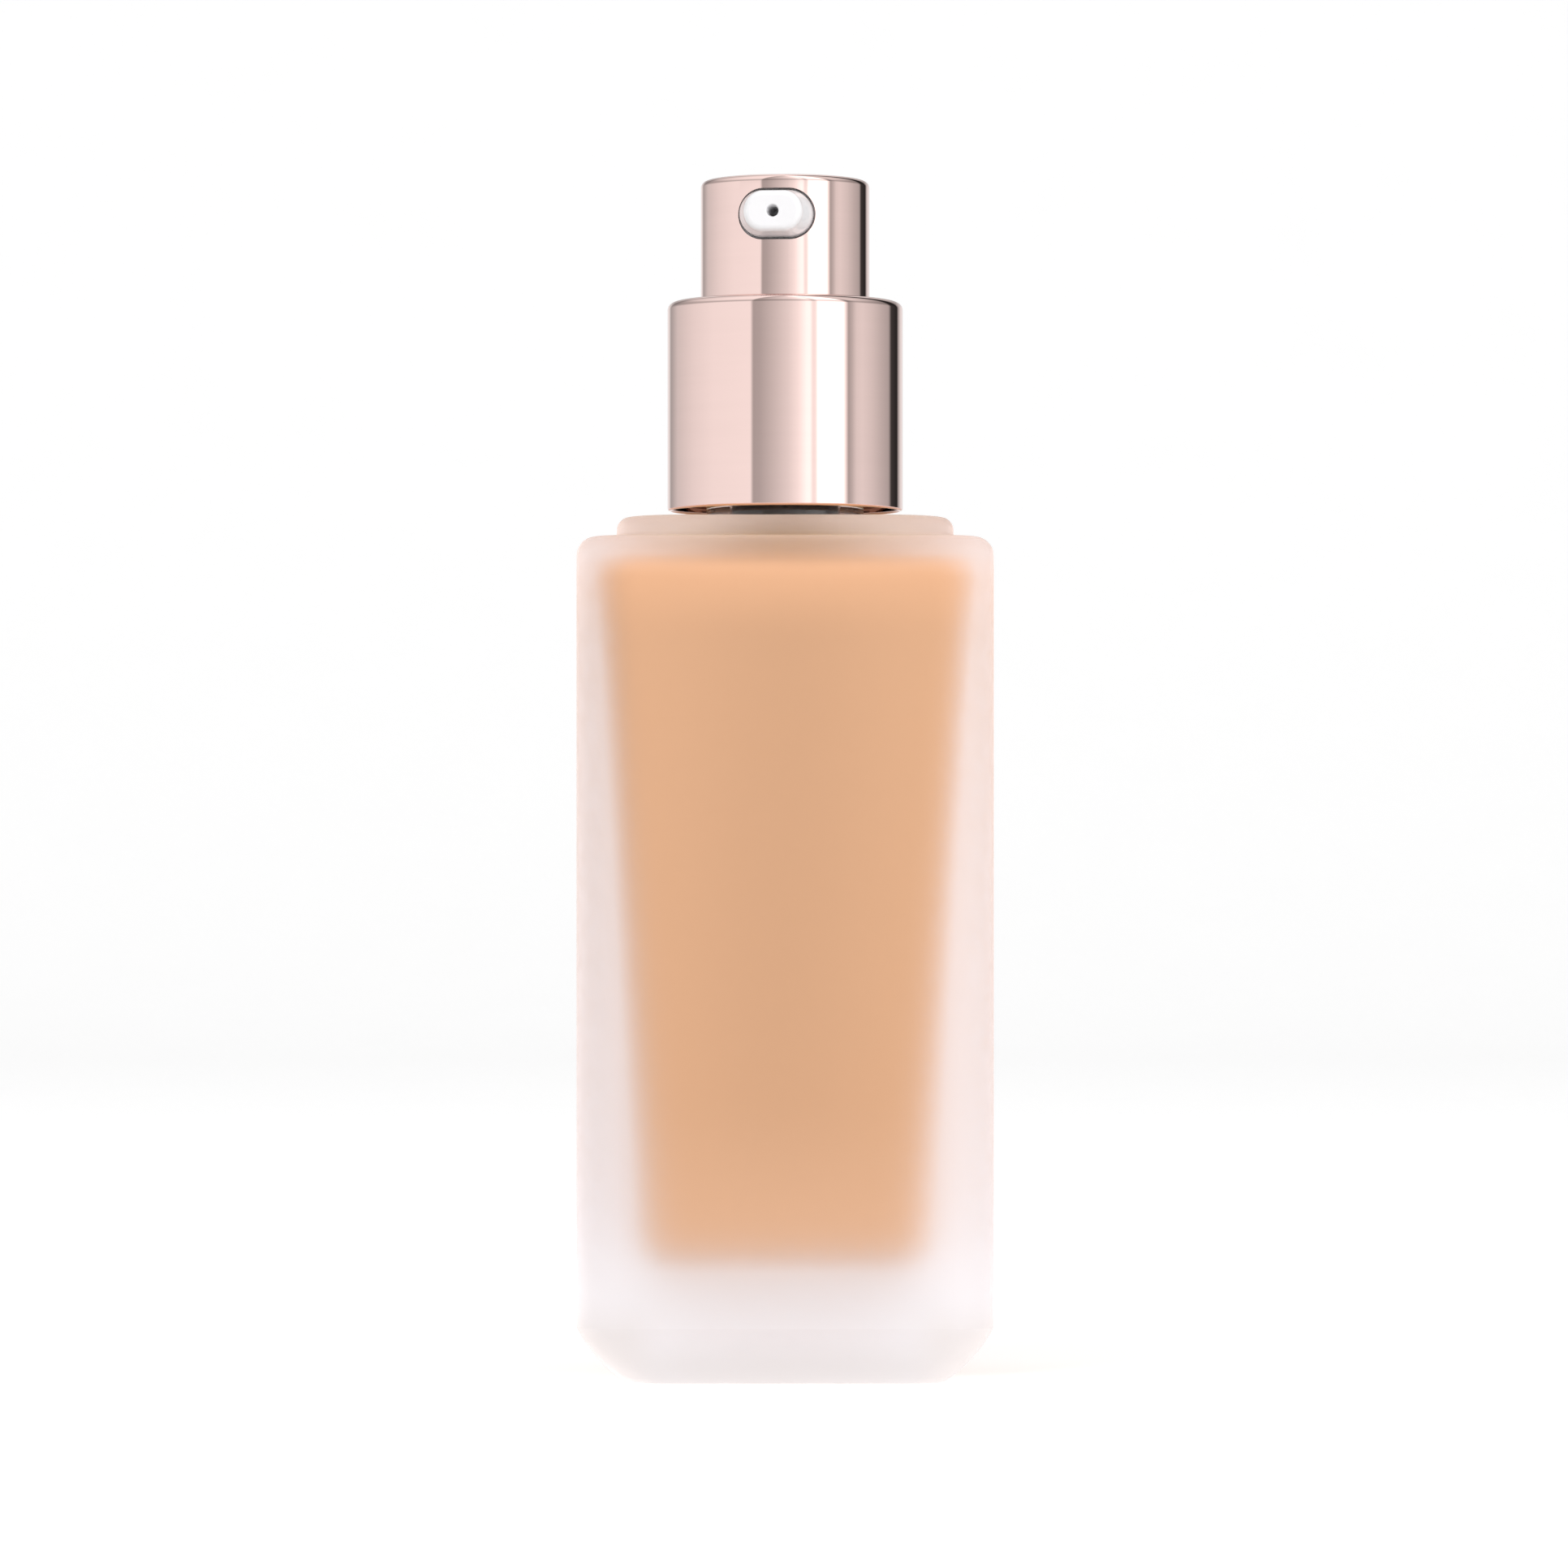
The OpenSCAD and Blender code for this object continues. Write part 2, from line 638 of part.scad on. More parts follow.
module button_core() {
    ribs = 4;
    in_r = core_r - core_wall;
    color(WHITE) faced() difference() {
        union() {
            difference() {
                translate([0, 0, core_bottom]) cylinder(r = core_r, h = core_top - core_bottom);
                translate([0, 0, core_bottom - EPS])
                    cylinder(r = in_r, h = core_top - core_top_t - core_bottom + EPS);
            }
            translate([0, 0, core_bottom]) cylinder(r = boss_r, h = core_top - core_bottom);
            // Block that holds the nozzle
            intersection() {
                translate([0, 0, window_z]) slot(window_w + 1, window_h + 1, core_r);
                translate([0, 0, core_bottom]) cylinder(r = core_r, h = core_top - core_bottom);
            }
            for (i = [0:ribs - 1]) rotate([0, 0, 45 + 360 * i / ribs])
                translate([0, -0.4, core_bottom + 2])
                cube([in_r + 0.2, 0.8, core_top - core_bottom - 2]);
        }
        // Socket for the stem, and the channel from it to the nozzle
        translate([0, 0, core_bottom - EPS])
            cylinder(r = stem_r + run_fit, h = stem_top + run_fit - core_bottom + EPS);
        translate([0, 0, stem_top - 1]) cylinder(r = stem_bore_r, h = window_z - stem_top + 1);
        translate([0, 0, window_z]) rotate([90, 0, 0]) cylinder(r = stem_bore_r, h = pocket_r + 1);
        // Pocket for the nozzle's plug, and the seat for its collar
        translate([0, -pocket_r, window_z])
            slot(plug_slot_w + 2 * push_fit, plug_slot_h + 2 * push_fit, core_r);
        translate([0, -core_r + seat_depth, window_z])
            slot(window_w, window_h, core_r);
    }
}

module button_shell() {
    color(ROSE_GOLD) faced() difference() {
        rotate_extrude() polygon(concat(
            [[button_r, skirt_bottom]],
            quarter_round(button_r - button_edge_r, button_top - button_edge_r, button_edge_r,
                0, 90),
            [[0, button_top], [0, core_top], [shell_in_r, core_top], [shell_in_r, skirt_bottom]]
        ));
        translate([0, -pocket_r, window_z]) slot(window_w, window_h, button_r);
    }
}

// White spout: a plug in the core, a collar that fills the window, and a tapered tip
module nozzle() {
    gap = 2 * window_gap;
    seat = core_r - seat_depth; // where the collar rests against the core
    brow = 0.5;          // depth of the tip's rounded front edge
    color(WHITE) faced() difference() {
        union() {
            translate([0, -pocket_r, window_z]) slot(plug_slot_w, plug_slot_h, seat - pocket_r + 1);
            translate([0, -seat, window_z]) slot(window_w - gap, window_h - gap, button_r - seat);
            hull() {
                translate([0, -button_r + EPS, window_z])
                    slot(window_w - gap, window_h - gap, 0.3, $fn = HULL_FN);
                translate([0, -nozzle_tip_r + brow + 0.1, window_z])
                    slot(tip_w + 0.7, tip_h + 0.7, 0.1, $fn = HULL_FN);
                translate([0, -nozzle_tip_r + 0.25, window_z])
                    slot(tip_w + 0.25, tip_h + 0.25, 0.1, $fn = HULL_FN);
                translate([0, -nozzle_tip_r + EPS, window_z])
                    slot(tip_w - 0.5, tip_h - 0.5, EPS, $fn = HULL_FN);
            }
        }
        translate([0, 0, window_z]) rotate([90, 0, 0]) cylinder(r = orifice_r, h = 2 * button_r);
        translate([0, 0, window_z]) rotate([90, 0, 0]) cylinder(r = stem_bore_r, h = button_r);
        // Small countersink round the outlet
        translate([0, -nozzle_tip_r - EPS, window_z]) rotate([-90, 0, 0])
            cylinder(r1 = orifice_r + 0.2, r2 = orifice_r, h = 0.2);
    }
}

glass_bottle();
foundation_fill();
neck_gasket();
pump_housing();
dip_tube();
inlet_ball();
ball_cage();
return_spring();
piston_rod();
piston();
pump_stem();
stem_seal();
turret_cap();
screw_closure();
collar_liner();
collar_shell();
button_core();
button_shell();
nozzle();
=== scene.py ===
"""Frosted glass foundation bottle with a rose gold treatment pump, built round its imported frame."""
from math import cos, pi, radians, sin

import bmesh
import bpy
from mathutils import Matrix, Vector


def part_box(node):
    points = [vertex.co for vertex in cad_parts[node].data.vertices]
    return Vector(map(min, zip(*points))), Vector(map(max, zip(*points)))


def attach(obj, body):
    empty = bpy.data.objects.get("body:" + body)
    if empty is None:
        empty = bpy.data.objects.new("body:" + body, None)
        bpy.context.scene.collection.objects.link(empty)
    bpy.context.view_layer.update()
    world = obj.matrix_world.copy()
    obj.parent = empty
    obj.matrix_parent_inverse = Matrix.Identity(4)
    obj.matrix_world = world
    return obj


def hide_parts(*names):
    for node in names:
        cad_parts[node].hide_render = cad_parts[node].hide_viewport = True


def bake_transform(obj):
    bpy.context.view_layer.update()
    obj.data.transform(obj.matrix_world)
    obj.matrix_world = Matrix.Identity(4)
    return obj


bl_info = {
    "name": "Foundation Bottle",
    "version": (1, 0, 0),
    "blender": (4, 5, 0),
    "location": "3D View > Sidebar > Bottle",
    "description": "Models and finishes a frosted glass pump bottle round its construction model",
    "category": "Object",
}

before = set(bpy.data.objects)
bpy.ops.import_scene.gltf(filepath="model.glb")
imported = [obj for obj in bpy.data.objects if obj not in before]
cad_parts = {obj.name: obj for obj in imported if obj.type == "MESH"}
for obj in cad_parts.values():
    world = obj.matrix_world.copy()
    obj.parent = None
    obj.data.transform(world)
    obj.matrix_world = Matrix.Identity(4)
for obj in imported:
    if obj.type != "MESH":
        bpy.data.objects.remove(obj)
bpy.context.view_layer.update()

MM = 0.001
MERGE = 0.5e-6          # vertices nearer than this are one
NEAR = 0.01 * MM        # faces and edges nearer than this are level
SMOOTH_ANGLE = radians(32)
TURNED_STEPS = 256      # facets round a turned piece
NECK_STEPS = 96         # facets round the neck and its thread
ROUND_STEPS = 10        # facets across a rounded edge
GLASS_INDEX = PLASTIC_INDEX = 1.5
# Between these heights the glass is tinted peach: a painted glow of the liquid's light
PAINTED_GLOW_FOOT, PAINTED_GLOW_TOP = 62 * MM, 75 * MM      # the glass warms between these heights

GLASS_LOW, GLASS_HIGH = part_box("glass_bottle")
FILL_LOW, FILL_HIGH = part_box("foundation_fill")
COLLAR_LOW, COLLAR_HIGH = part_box("collar_shell")
BUTTON_LOW, BUTTON_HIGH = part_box("button_shell")
HOUSING_LOW, HOUSING_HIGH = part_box("pump_housing")
TUBE_LOW, TUBE_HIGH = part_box("dip_tube")
CAGE_LOW, CAGE_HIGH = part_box("ball_cage")
SPRING_LOW, SPRING_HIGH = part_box("return_spring")


# ---------------------------------------------------------------- settings

def length(name, default, description):
    """A size in metres that the panel shows as a length."""
    return bpy.props.FloatProperty(
        name=name, description=description, default=default, min=0.0, unit="LENGTH", precision=5)


def colour(name, default, description):
    """A linear colour."""
    return bpy.props.FloatVectorProperty(
        name=name, description=description, default=default, size=3, min=0.0, max=1.0,
        subtype="COLOR")


def share(name, default, description):
    """A number from 0 to 1."""
    return bpy.props.FloatProperty(
        name=name, description=description, default=default, min=0.0, max=1.0, subtype="FACTOR")


class BottleSizes(bpy.types.PropertyGroup):
    """Sizes of the glass and of the liquid in it"""
    width: length("Body width", GLASS_HIGH.x - GLASS_LOW.x, "Width and depth of the square body")
    height: length("Shoulder height", 73.2 * MM, "Height of the shoulder above the base")
    corner: length("Corner radius", 3.6 * MM, "Radius of the four upright edges")
    shoulder: length("Shoulder rounding", 1.7 * MM, "Rounding of the shoulder's outer edge")
    heel_rise: length("Heel height", 5.0 * MM, "Height of the bevelled heel")
    heel_inset: length("Heel inset", 4.3 * MM, "How far the heel comes in at the base")
    heel_power: bpy.props.FloatProperty(
        name="Heel roundness", description="1 is a flat bevel and 2 an elliptical one",
        default=1.25, min=1.0, max=2.0)
    recess_width: length("Recess width", 18 * MM, "Width of the square recess under the base")
    recess_depth: length("Recess depth", 0.6 * MM, "Depth of the recess under the base")
    plinth: length("Plinth width", 29.3 * MM, "Width of the square step on the shoulder")
    plinth_height: length("Plinth height", 1.9 * MM, "Height of the step")
    plinth_corner: length("Plinth corner", 5.5 * MM, "Radius of the step's corners")
    plinth_edge: length("Plinth rounding", 1.1 * MM, "Rounding of the step's top edge")
    wall_top: length("Wall at the top", 1.6 * MM, "Side wall under the shoulder")
    wall_foot: length("Wall at the foot", 5.1 * MM, "Side wall at the cavity's floor")
    cavity_corner: length("Cavity corner", 3.0 * MM, "Radius of the cavity's upright edges")
    floor_edge: length("Cavity floor rounding", 2.6 * MM, "Rounding of the cavity's floor")
    roof_edge: length("Cavity roof rounding", 1.8 * MM, "Rounding under the cavity's roof")
    roof_slope: length("Cavity roof rise", 0.8 * MM, "Rise of the roof towards the neck")
    roof: length("Roof thickness", 2.8 * MM, "Glass between the plinth and the cavity")
    neck: length("Neck radius", 6.55 * MM, "Radius of the neck between its threads")
    bead: length("Bead radius", 6.95 * MM, "Radius of the bead at the neck's foot")
    bead_height: length("Bead height", 1.6 * MM, "Height of the bead")
    bore: length("Bore radius", 4.9 * MM, "Radius of the neck's bore")
    thread_pitch: length("Thread pitch", 3 * MM, "Rise of the thread in one turn")
    thread_depth: length("Thread depth", 0.75 * MM, "How far the thread stands out")
    thread_turns: bpy.props.FloatProperty(
        name="Thread turns", description="Turns of thread on the neck", default=1.2, min=0.5)
    wetting: length("Wetting", 0.04 * MM, "How far the liquid's skin reaches into the glass")


class PumpSizes(bpy.types.PropertyGroup):
    """Sizes of the metal collar, the button and its nozzle"""
    collar_sheet: length("Collar sheet", 0.45 * MM, "Sheet thickness of the collar")
    collar_edge: length("Collar rounding", 0.7 * MM, "Rounding of the collar's top edge")
    collar_hole: length("Collar hole", 7.65 * MM, "Radius of the hole for the button")
    sheet_edge: length("Sheet edge", 0.12 * MM, "Rounding of cut sheet edges")
    button: length("Button radius", 7.45 * MM, "Outer radius of the button")
    button_sheet: length("Button sheet", 0.4 * MM, "Sheet thickness of the button")
    button_edge: length("Button rounding", 0.6 * MM, "Rounding of the button's top edge")
    window_width: length("Window width", 6.8 * MM, "Width of the nozzle's window")
    window_height: length("Window height", 4.5 * MM, "Height of the nozzle's window")
    window_roof: length("Window roof", 1.25 * MM, "Metal left above the window")
    nozzle_gap: length("Nozzle gap", 0.2 * MM, "Dark gap round the nozzle in its window")
    nozzle_reach: length("Nozzle reach", 10.2 * MM, "Radius at which the nozzle ends")
    tip_width: length("Tip width", 4.7 * MM, "Width of the nozzle's tip")
    tip_height: length("Tip height", 3.1 * MM, "Height of the nozzle's tip")
    orifice: length("Outlet radius", 0.55 * MM, "Radius of the outlet at its mouth")
    throat: length("Throat radius", 0.4 * MM, "Radius to which the outlet narrows inside")
    spring_wire: length("Spring wire", 0.6 * MM, "Wire thickness of the return spring")
    spring_coils: bpy.props.IntProperty(
        name="Spring coils", description="Working coils of the return spring", default=5, min=1)
    nozzle_turn: bpy.props.FloatProperty(
        name="Nozzle turn", description="How far the nozzle is turned from the front",
        default=radians(6.3), unit="ROTATION")


class Finishes(bpy.types.PropertyGroup):
    """Colours and surface finishes, with painted glow and painted shade among the tints"""
    glass: colour("Glass", (0.98, 0.967, 0.995), "Tint of the glass")
    # Painted glow: the liquid's light, scattered up into the frosted shoulder, painted into the
    # glass's colour
    shoulder: colour("Shoulder glow", (0.955, 0.875, 0.86), "Tint of the glass near the shoulder")
    low_glass: colour("Low glass", (1.0, 0.965, 0.955), "Tint of the thick glass under the liquid")
    # Painted shade: a darker copy of the glass's tint near the base
    foot: colour("Foot", (0.875, 0.835, 0.80), "Tint of the glass near the base")
    # Painted shade: the heel is darkened at its corners
    heel_painted_shade: colour("Heel corners", (0.90, 0.84, 0.79), "Tint of the heel at its corners")
    etch: share("Etch", 0.95, "Roughness of the frosted outside")
    screen: colour("Inner frost", (0.98, 0.958, 0.99), "Colour of the frost seen from inside")
    base_frost: share("Base frost", 0.1, "Light that the base throws back into the glass")
    top_frost: share("Plinth frost", 0.45, "Light that the plinth's top throws back into the glass")
    foundation: colour("Foundation", (0.76, 0.44, 0.25), "Colour of the liquid")
    rose_gold: colour("Rose gold", (0.92, 0.70, 0.655), "Colour of the anodised metal")
    polish: share("Polish", 0.012, "Roughness of the anodised metal")
    white: colour("White plastic", (0.88, 0.875, 0.88), "Colour of the white mouldings")
    gloss: colour("Nozzle white", (0.97, 0.96, 0.975), "Colour of the white nozzle")
    natural: colour("Natural plastic", (0.72, 0.73, 0.72), "Colour of the natural mouldings")
    # The housing's near-black colour is painted shade: it stands for the shade in the neck under the
    # collar
    dark: colour("Dark plastic", (0.022, 0.02, 0.021), "Colour of the dark pump housing")
    rubber: colour("Elastomer", (0.13, 0.125, 0.13), "Colour of the stem seal")
    steel: colour("Steel", (0.56, 0.57, 0.58), "Colour of the spring and the ball")


class StageSettings(bpy.types.PropertyGroup):
    """Camera, floor and light"""
    distance: length("Camera distance", 624 * MM, "From the camera to the bottle's axis")
    eye: length("Camera height", 42.4 * MM, "Height of the camera")
    side: bpy.props.FloatProperty(
        name="Camera side", description="Sideways place of the camera", default=-0.1 * MM,
        unit="LENGTH")
    lens: bpy.props.FloatProperty(
        name="Focal length", description="Focal length in millimetres", default=162.2, min=1.0)
    lift: bpy.props.FloatProperty(
        name="Shift", description="Upward shift of the picture", default=0.0694)
    ambient: share("Ambient", 0.62, "Level of the light from all round")


# ---------------------------------------------------------------- modelling by hand

def begin(primitive, name, **place):
    """Adds a primitive with nothing else selected, applies its place and opens it for editing."""
    if bpy.context.mode != "OBJECT":
        bpy.ops.object.mode_set(mode="OBJECT")
    bpy.ops.object.select_all(action="DESELECT")
    primitive(**place)
    piece = bpy.context.object
    piece.name = piece.data.name = name
    bpy.ops.object.transform_apply(location=True, rotation=True, scale=True)
    bpy.ops.object.mode_set(mode="EDIT")
    bpy.ops.mesh.select_mode(type="VERT")
    bpy.ops.mesh.select_all(action="SELECT")
    return piece


def pick(piece):
    """Selects one piece alone and makes it active."""
    bpy.ops.object.select_all(action="DESELECT")
    piece.select_set(True)
    bpy.context.view_layer.objects.active = piece


def select(kind, wanted):
    """Selects the vertices, edges or faces of the piece being edited for which wanted holds."""
    bpy.ops.mesh.select_mode(type=kind)
    bpy.ops.mesh.select_all(action="DESELECT")
    mesh = bmesh.from_edit_mesh(bpy.context.object.data)
    for part in {"VERT": mesh.verts, "EDGE": mesh.edges, "FACE": mesh.faces}[kind]:
        if wanted(part):
            part.select_set(True)
    mesh.select_flush_mode()
    bmesh.update_edit_mesh(bpy.context.object.data)


def extrude(x, y, z):
    """Extrudes the selection and moves it."""
    bpy.ops.mesh.extrude_region_move(TRANSFORM_OT_translate={"value": (x, y, z)})


def level_rim(height):
    """A test for the open edges that lie at a height."""
    def wanted(edge):
        return edge.is_boundary and all(abs(v.co.z - height) < NEAR for v in edge.verts)
    return wanted


def draw_up(rows):
    """Extrudes the selection through rows of (width, height), from the first row on."""
    for (width, height), (next_width, next_height) in zip(rows, rows[1:]):
        extrude(0, 0, next_height - height)
        grow = next_width / width
        if abs(grow - 1) > 1e-9:
            bpy.ops.transform.resize(value=(grow, grow, 1), center_override=(0, 0, next_height))


def rounded_square(name, width, radius, height):
    """A flat face with four round corners, left selected."""
    piece = begin(bpy.ops.mesh.primitive_plane_add, name, size=width, location=(0, 0, height))
    bpy.ops.mesh.bevel(
        offset=radius, offset_pct=0, affect="VERTICES", segments=ROUND_STEPS, profile=0.5)
    bpy.ops.mesh.remove_doubles(threshold=MERGE)
    select("FACE", lambda face: True)
    return piece


def disc(name, radius, height, steps):
    """A flat round face, left selected."""
    piece = begin(
        bpy.ops.mesh.primitive_circle_add, name, vertices=steps, radius=radius,
        location=(0, 0, height), fill_type="NGON")
    select("FACE", lambda face: True)
    return piece


def open_ends(*heights):
    """Deletes the flat faces that close a piece at these heights."""
    def wanted(face):
        return len(face.verts) > 4 and any(
            abs(face.calc_center_median().z - height) < NEAR for height in heights)
    select("FACE", wanted)
    bpy.ops.mesh.delete(type="ONLY_FACE")


def arc(centre, radius, first, last, steps):
    """Points of a circular arc, with angles in degrees."""
    return [
        (centre[0] + radius * cos(radians(first + (last - first) * i / steps)),
         centre[1] + radius * sin(radians(first + (last - first) * i / steps)))
        for i in range(steps + 1)
    ]


def drawn(name, points):
    """Draws a closed outline of (radius, height) points by extruding a vertex."""
    piece = begin(bpy.ops.mesh.primitive_plane_add, name, size=MM)
    bpy.ops.mesh.merge(type="CENTER")
    radius, height = points[0]
    bpy.ops.transform.translate(value=(radius, 0, height))
    for next_radius, next_height in points[1:]:
        extrude(next_radius - radius, 0, next_height - height)
        radius, height = next_radius, next_height
    ends = [Vector((x, 0, z)) for x, z in (points[0], points[-1])]
    if any(end.x > MERGE for end in ends):
        select("VERT", lambda v: any((v.co - end).length < MERGE for end in ends))
        bpy.ops.mesh.edge_face_add()
    return piece


def turned(name, profile):
    """Spins a closed outline round the axis."""
    piece = drawn(name, profile)
    bpy.ops.mesh.select_all(action="SELECT")
    bpy.ops.mesh.spin(
        steps=TURNED_STEPS, angle=2 * pi, center=(0, 0, 0), axis=(0, 0, 1), use_auto_merge=True)
    tidy()
    return piece


def tidy():
    """Merges doubles and points all faces outwards, then leaves edit mode."""
    bpy.ops.mesh.select_all(action="SELECT")
    bpy.ops.mesh.remove_doubles(threshold=MERGE)
    bpy.ops.mesh.normals_make_consistent(inside=False)
    bpy.ops.object.mode_set(mode="OBJECT")


def apply_modifier(piece, kind, **values):
    """Adds a modifier and applies it at once."""
    pick(piece)
    modifier = piece.modifiers.new(kind.title(), kind)
    for key, value in values.items():
        setattr(modifier, key, value)
    bpy.ops.object.modifier_apply(modifier=modifier.name)


def cut(piece, cutter, operation="DIFFERENCE"):
    """Cuts or joins two solids and removes the second."""
    apply_modifier(piece, "BOOLEAN", object=cutter, operation=operation, solver="EXACT")
    pick(cutter)
    bpy.ops.object.delete()
    pick(piece)


def join(*pieces):
    """Joins pieces into the first and opens it for editing."""
    bpy.ops.object.select_all(action="DESELECT")
    for piece in pieces:
        piece.select_set(True)
    bpy.context.view_layer.objects.active = pieces[0]
    bpy.ops.object.join()
    bpy.ops.object.mode_set(mode="EDIT")


def bridge(first_rim, second_rim):
    """Bridges two open rims, each given as a test."""
    select("EDGE", lambda edge: first_rim(edge) or second_rim(edge))
    bpy.ops.mesh.bridge_edge_loops()


def complete(piece, body, slot, node, *materials):
    """Shades a finished piece, gives it its materials and ties it to the frame.

    The body may be left out; the piece is then tied to no body.
    """
    pick(piece)
    bpy.ops.object.shade_smooth_by_angle(angle=SMOOTH_ANGLE)
    apply_modifier(piece, "WEIGHTED_NORMAL", weight=80, keep_sharp=True)
    for material in materials:
        piece.data.materials.append(material)
    if body:
        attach(piece, body)
    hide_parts(node)


# ---------------------------------------------------------------- materials

class Network:
    """The shader nodes of a material or a world. A socket given as an input is linked."""

    def __init__(self, owner):
        owner.use_nodes = True
        self.owner = owner
        self.tree = owner.node_tree

    def find(self, kind):
        """The node of a kind of which there is one."""
        return next(node for node in self.tree.nodes if node.type == kind)

    def feed(self, node, inputs):
        """Sets or links a node's inputs, given by name or number."""
        for key, value in inputs.items():
            if isinstance(value, bpy.types.NodeSocket):
                self.tree.links.new(value, node.inputs[key])
            elif node.inputs[key].type == "RGBA":
                node.inputs[key].default_value = (*value, 1)
            else:
                node.inputs[key].default_value = value

    def add(self, kind, inputs=None, output=0, **settings):
        """Adds a node and returns one of its outputs."""
        node = self.tree.nodes.new("ShaderNode" + kind)
        for key, value in settings.items():
            setattr(node, key, value)
        self.feed(node, inputs or {})
        return node.outputs[output]

    def math(self, operation, *values):
        """A sum, product or other function of sockets and numbers."""
        return self.add("Math", dict(enumerate(values)), operation=operation)

    def ray(self, kind):
        """1 for one kind of ray and 0 for the others."""
        return self.add("LightPath", output=f"Is {kind} Ray")

    def mixed_shaders(self, factor, first, second):
        """Mixes two shaders by a factor."""
        return self.add("MixShader", {"Fac": factor, 1: first, 2: second})

    def noise(self, scale, detail, stretch=(1, 1, 1)):
        """Noise on Object coordinates, finer along the axes with a larger stretch."""
        place = self.add("TexCoord", output="Object")
        placed = self.add("Mapping", {"Vector": place, "Scale": stretch})
        return self.add("TexNoise", {"Vector": placed, "Scale": scale, "Detail": detail})

    def between(self, grain, low, high):
        """Maps a noise's 0.3 to 0.7 to a range of values."""
        return self.add("MapRange", {
            "Value": grain, "From Min": 0.3, "From Max": 0.7, "To Min": low, "To Max": high})

    def tinted(self, factor, low, high):
        """Mixes two colours by a factor."""
        return self.add(
            "Mix", {"Factor": factor, "A": low, "B": high}, "Result", data_type="RGBA")

    def along(self, axis):
        """The coordinate on the piece along an axis."""
        place = self.add("TexCoord", output="Object")
        return self.add("SeparateXYZ", {"Vector": place}, axis)

    def aside(self, axis):
        """The distance from the middle of the piece along an axis."""
        return self.math("ABSOLUTE", self.along(axis))

    def ease(self, value, first, last, most=1.0):
        """Goes smoothly from 0 to its most as a value goes from first to last."""
        return self.add("MapRange", {
            "Value": value, "From Min": first, "From Max": last, "To Max": most},
            interpolation_type="SMOOTHSTEP")

    def rise(self, first, last, most=1.0):
        """Goes smoothly from 0 at one height on the piece to its most at another."""
        return self.ease(self.along("Z"), first, last, most)

    def bump(self, height, distance):
        """A normal roughened by a height."""
        return self.add("Bump", {"Height": height, "Distance": distance})

    def surface(self, shader):
        """Makes a shader the material's surface."""
        self.feed(self.find("OUTPUT_MATERIAL"), {"Surface": shader})

    def let_lamps_through(self, shader, tint):
        """Lets shadow and diffuse rays pass the glass, so that lamps reach the liquid."""
        passing = self.math("MAXIMUM", self.ray("Shadow"), self.ray("Diffuse"))
        clear = self.add("BsdfTransparent", {"Color": tint})
        self.surface(self.mixed_shaders(passing, shader, clear))


def blank_material(name):
    """A new material's nodes, with one Principled shader."""
    nodes = Network(bpy.data.materials.new(name))
    return nodes, nodes.find("BSDF_PRINCIPLED")


def shaded(value, amount):
    """A colour made lighter or darker."""
    return tuple(min(1.0, part * amount) for part in value)


def frosted_glass(finishes):
    """Acid-etched glass: rough, faintly pink, with a fine satin grain. A painted glow of the liquid's
    light tints it towards the shoulder, and painted shade darkens it near the base and at the heel's
    corners.
    """
    nodes, shader = blank_material("acid_etched_glass")
    grain = nodes.noise(900, 4)
    nearer = nodes.math("MINIMUM", nodes.aside("X"), nodes.aside("Y"))
    # Mask for the painted shade at the heel's corners
    heel_shade_mask = nodes.math(
        "MULTIPLY", nodes.rise(8 * MM, 4 * MM), nodes.ease(nearer, 10 * MM, 14 * MM))
    # Painted glow of the liquid's light towards the shoulder
    tint = nodes.tinted(nodes.rise(PAINTED_GLOW_FOOT, PAINTED_GLOW_TOP), finishes.glass, finishes.shoulder)
    tint = nodes.tinted(nodes.rise(16 * MM, 6 * MM), tint, finishes.low_glass)
    # Painted shade: the glass darkens towards the base
    tint = nodes.tinted(nodes.rise(4.5 * MM, 1 * MM), tint, finishes.foot)
    nodes.feed(shader, {
        "Base Color": nodes.tinted(heel_shade_mask, tint, finishes.heel_painted_shade),
        "Roughness": nodes.between(grain, finishes.etch - 0.04, finishes.etch + 0.04),
        "IOR": GLASS_INDEX, "Transmission Weight": 1.0,
        "Normal": nodes.bump(grain, 0.004 * MM)})
    skin = scattering_skin(nodes, finishes, shader.outputs["BSDF"])
    nodes.let_lamps_through(skin, (0.97, 0.95, 0.94))
    return nodes.owner


def scattering_skin(nodes, finishes, outside):
    """The etched skin, which is a white screen for rays that meet it from inside the glass."""
    # Near the shoulder the inner screen takes the painted glow of the liquid's light
    screen = nodes.tinted(
        nodes.rise(PAINTED_GLOW_FOOT, PAINTED_GLOW_TOP), finishes.screen, shaded(finishes.shoulder, 0.98))
    thrown_back = nodes.math(
        "MAXIMUM", nodes.rise(3 * MM, 0, finishes.base_frost),
        nodes.rise(74.6 * MM, 75.1 * MM, finishes.top_frost))
    inside = nodes.mixed_shaders(
        thrown_back, nodes.add("BsdfTranslucent", {"Color": screen}),
        nodes.add("BsdfDiffuse", {"Color": screen}))
    return nodes.mixed_shaders(
        nodes.add("NewGeometry", output="Backfacing"), outside, inside)


def clear_glass(finishes):
    """The smooth inside of the bottle."""
    nodes, shader = blank_material("smooth_glass")
    ripple = nodes.between(nodes.noise(60, 1), 0, 1)
    nodes.feed(shader, {
        "Base Color": nodes.tinted(
            ripple, shaded(finishes.glass, 0.99), shaded(finishes.glass, 1.02)),
        "Roughness": 0.05, "IOR": GLASS_INDEX, "Transmission Weight": 1.0})
    nodes.let_lamps_through(shader.outputs["BSDF"], (0.99, 0.98, 0.97))
    return nodes.owner


